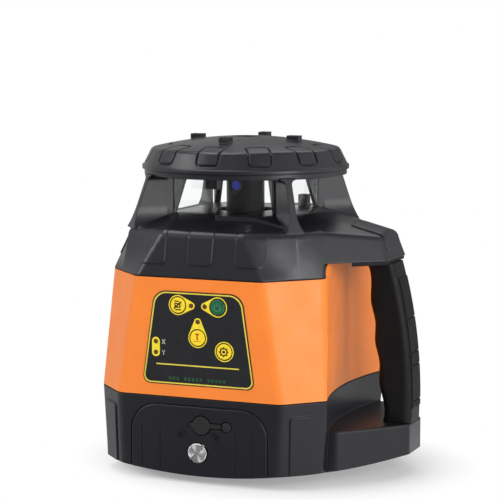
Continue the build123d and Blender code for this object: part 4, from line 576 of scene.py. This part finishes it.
def shade_distance(tree, place):
    """Distance from the middle of the object's plan, 1 on an ellipse about as wide and deep as the object."""
    beside = add_node(tree, "ShaderNodeMapping")
    beside.inputs["Location"].default_value = (-SHADE_MIDDLE_X / SHADE_HALF_X, 0, 0)
    beside.inputs["Scale"].default_value = (1 / SHADE_HALF_X, 1 / SHADE_HALF_Y, 1)
    tree.links.new(place, beside.inputs["Vector"])
    length = add_node(tree, "ShaderNodeVectorMath", operation="LENGTH")
    tree.links.new(beside.outputs["Vector"], length.inputs[0])
    return length.outputs["Value"]


def floor_paper():
    """White paper that keeps the object's shadow close to it and fades to pure white further out."""
    material = bpy.data.materials.new("floor_paper")
    material.use_nodes = True
    tree = material.node_tree
    tree.nodes.clear()
    paper = add_node(tree, "ShaderNodeBsdfDiffuse")
    paper.inputs["Color"].default_value = (FLOOR_PAPER, FLOOR_PAPER, FLOOR_PAPER, 1)
    glow = add_node(tree, "ShaderNodeEmission")
    glow.inputs["Color"].default_value = (1, 1, 1, 1)
    path = add_node(tree, "ShaderNodeLightPath")
    place = add_node(tree, "ShaderNodeTexCoord").outputs["Object"]
    fade = spread(tree, shade_distance(tree, place), SHADE_WHITE, 1.0, SHADE_INSIDE, SHADE_OUTSIDE)
    direct = combine(tree, "MULTIPLY", seen_directly(tree, path), fade)
    mirror = mirror_only(tree, path)
    outward = add_node(tree, "ShaderNodeVectorMath", operation="NORMALIZE")
    tree.links.new(place, outward.inputs[0])
    level = add_node(tree, "ShaderNodeMix", data_type="FLOAT")
    level.inputs["A"].default_value = 1.0
    tree.links.new(mirror, level.inputs["Factor"])
    tree.links.new(side_light(tree, outward.outputs[0]), level.inputs["B"])
    tree.links.new(level.outputs["Result"], glow.inputs["Strength"])
    mix = add_node(tree, "ShaderNodeMixShader")
    output = add_node(tree, "ShaderNodeOutputMaterial")
    tree.links.new(combine(tree, "MAXIMUM", mirror, direct), mix.inputs[0])
    tree.links.new(paper.outputs[0], mix.inputs[1])
    tree.links.new(glow.outputs[0], mix.inputs[2])
    tree.links.new(mix.outputs[0], output.inputs["Surface"])
    return material


def stage_floor():
    mesh = bpy.data.meshes.new("floor")
    corners = [(x, y, 0) for x, y in rectangle(-FLOOR_HALF, -FLOOR_HALF, FLOOR_HALF, FLOOR_HALF)]
    mesh.from_pydata(corners, [], [(0, 1, 2, 3)])
    mesh.materials.append(floor_paper())
    floor = bpy.data.objects.new("floor", mesh)
    bpy.context.scene.collection.objects.link(floor)


def studio_world():
    """White to the camera; mirrored, it is a room with bright side walls and a dimmer front and back."""
    world = bpy.data.worlds.new("studio")
    bpy.context.scene.world = world
    world.use_nodes = True
    tree = world.node_tree
    background = tree.nodes["Background"]
    background.inputs["Color"].default_value = (1, 1, 1, 1)
    path = add_node(tree, "ShaderNodeLightPath")
    direct = spread(tree, seen_directly(tree, path), AMBIENT, 1.0, 0.0, 1.0)
    mirrored = side_light(tree, add_node(tree, "ShaderNodeTexCoord").outputs["Generated"])
    both = add_node(tree, "ShaderNodeMix", data_type="FLOAT")
    tree.links.new(mirror_only(tree, path), both.inputs["Factor"])
    tree.links.new(direct, both.inputs["A"])
    tree.links.new(mirrored, both.inputs["B"])
    tree.links.new(both.outputs["Result"], background.inputs["Strength"])


stage_floor()
studio_world()


# Lamps: name, place and size in metres, power in watts, and whether mirrored rays show the lamp

LAMP_TARGET = (0.01, 0.0, 0.1)
SOFTBOXES = [
    ("right_front_box", (0.8, -1.0, 0.5), (0.5, 0.6), 3.2, False),
    ("right_glint_box", (0.78, -0.76, 0.6), (0.36, 0.36), 1.6, True),
    ("right_low_box", (1.15, -0.5, 0.32), (0.5, 0.5), 4.4, True),
    ("right_side_box", (1.25, 0.2, 0.4), (0.4, 0.6), 3.0, False),
    ("left_front_box", (-0.95, -0.65, 0.8), (0.7, 0.7), 6.2, True),
    ("front_high_box", (0.0, -1.2, 1.1), (0.8, 0.5), 0.8, True),
    ("top_box", (-0.3, 0.0, 1.25), (0.8, 0.6), 6.0, True),
    ("back_high_box", (0.0, 0.9, 1.1), (0.8, 0.5), 2.0, True),
    ("back_left_box", (-0.7, 1.0, 0.55), (0.5, 0.5), 0.12, True),
]


def softbox(name, place, size, power, mirrored):
    light = bpy.data.lights.new(name, "AREA")
    light.shape = "RECTANGLE"
    light.size, light.size_y = size
    light.energy = power
    lamp = bpy.data.objects.new(name, light)
    lamp.location = place
    lamp.visible_glossy = mirrored
    lamp.rotation_euler = (Vector(LAMP_TARGET) - Vector(place)).to_track_quat("-Z", "Y").to_euler()
    bpy.context.scene.collection.objects.link(lamp)


for lamp_values in SOFTBOXES:
    softbox(*lamp_values)


# Camera at the photograph's viewing angle

SENSOR = 36
LENS = 132.13
CAMERA_PLACE = (0.43535, -1.06725, 0.27281)
CAMERA_AIM = (-0.37285, 0.92012, -0.11986)

camera_data = bpy.data.cameras.new("camera")
camera_data.sensor_width = SENSOR
camera_data.lens = LENS
camera = bpy.data.objects.new("camera", camera_data)
camera.location = CAMERA_PLACE
camera.rotation_euler = Vector(CAMERA_AIM).to_track_quat("-Z", "Y").to_euler()
bpy.context.scene.collection.objects.link(camera)
bpy.context.scene.camera = camera
bpy.context.scene.view_settings.view_transform = "Standard"
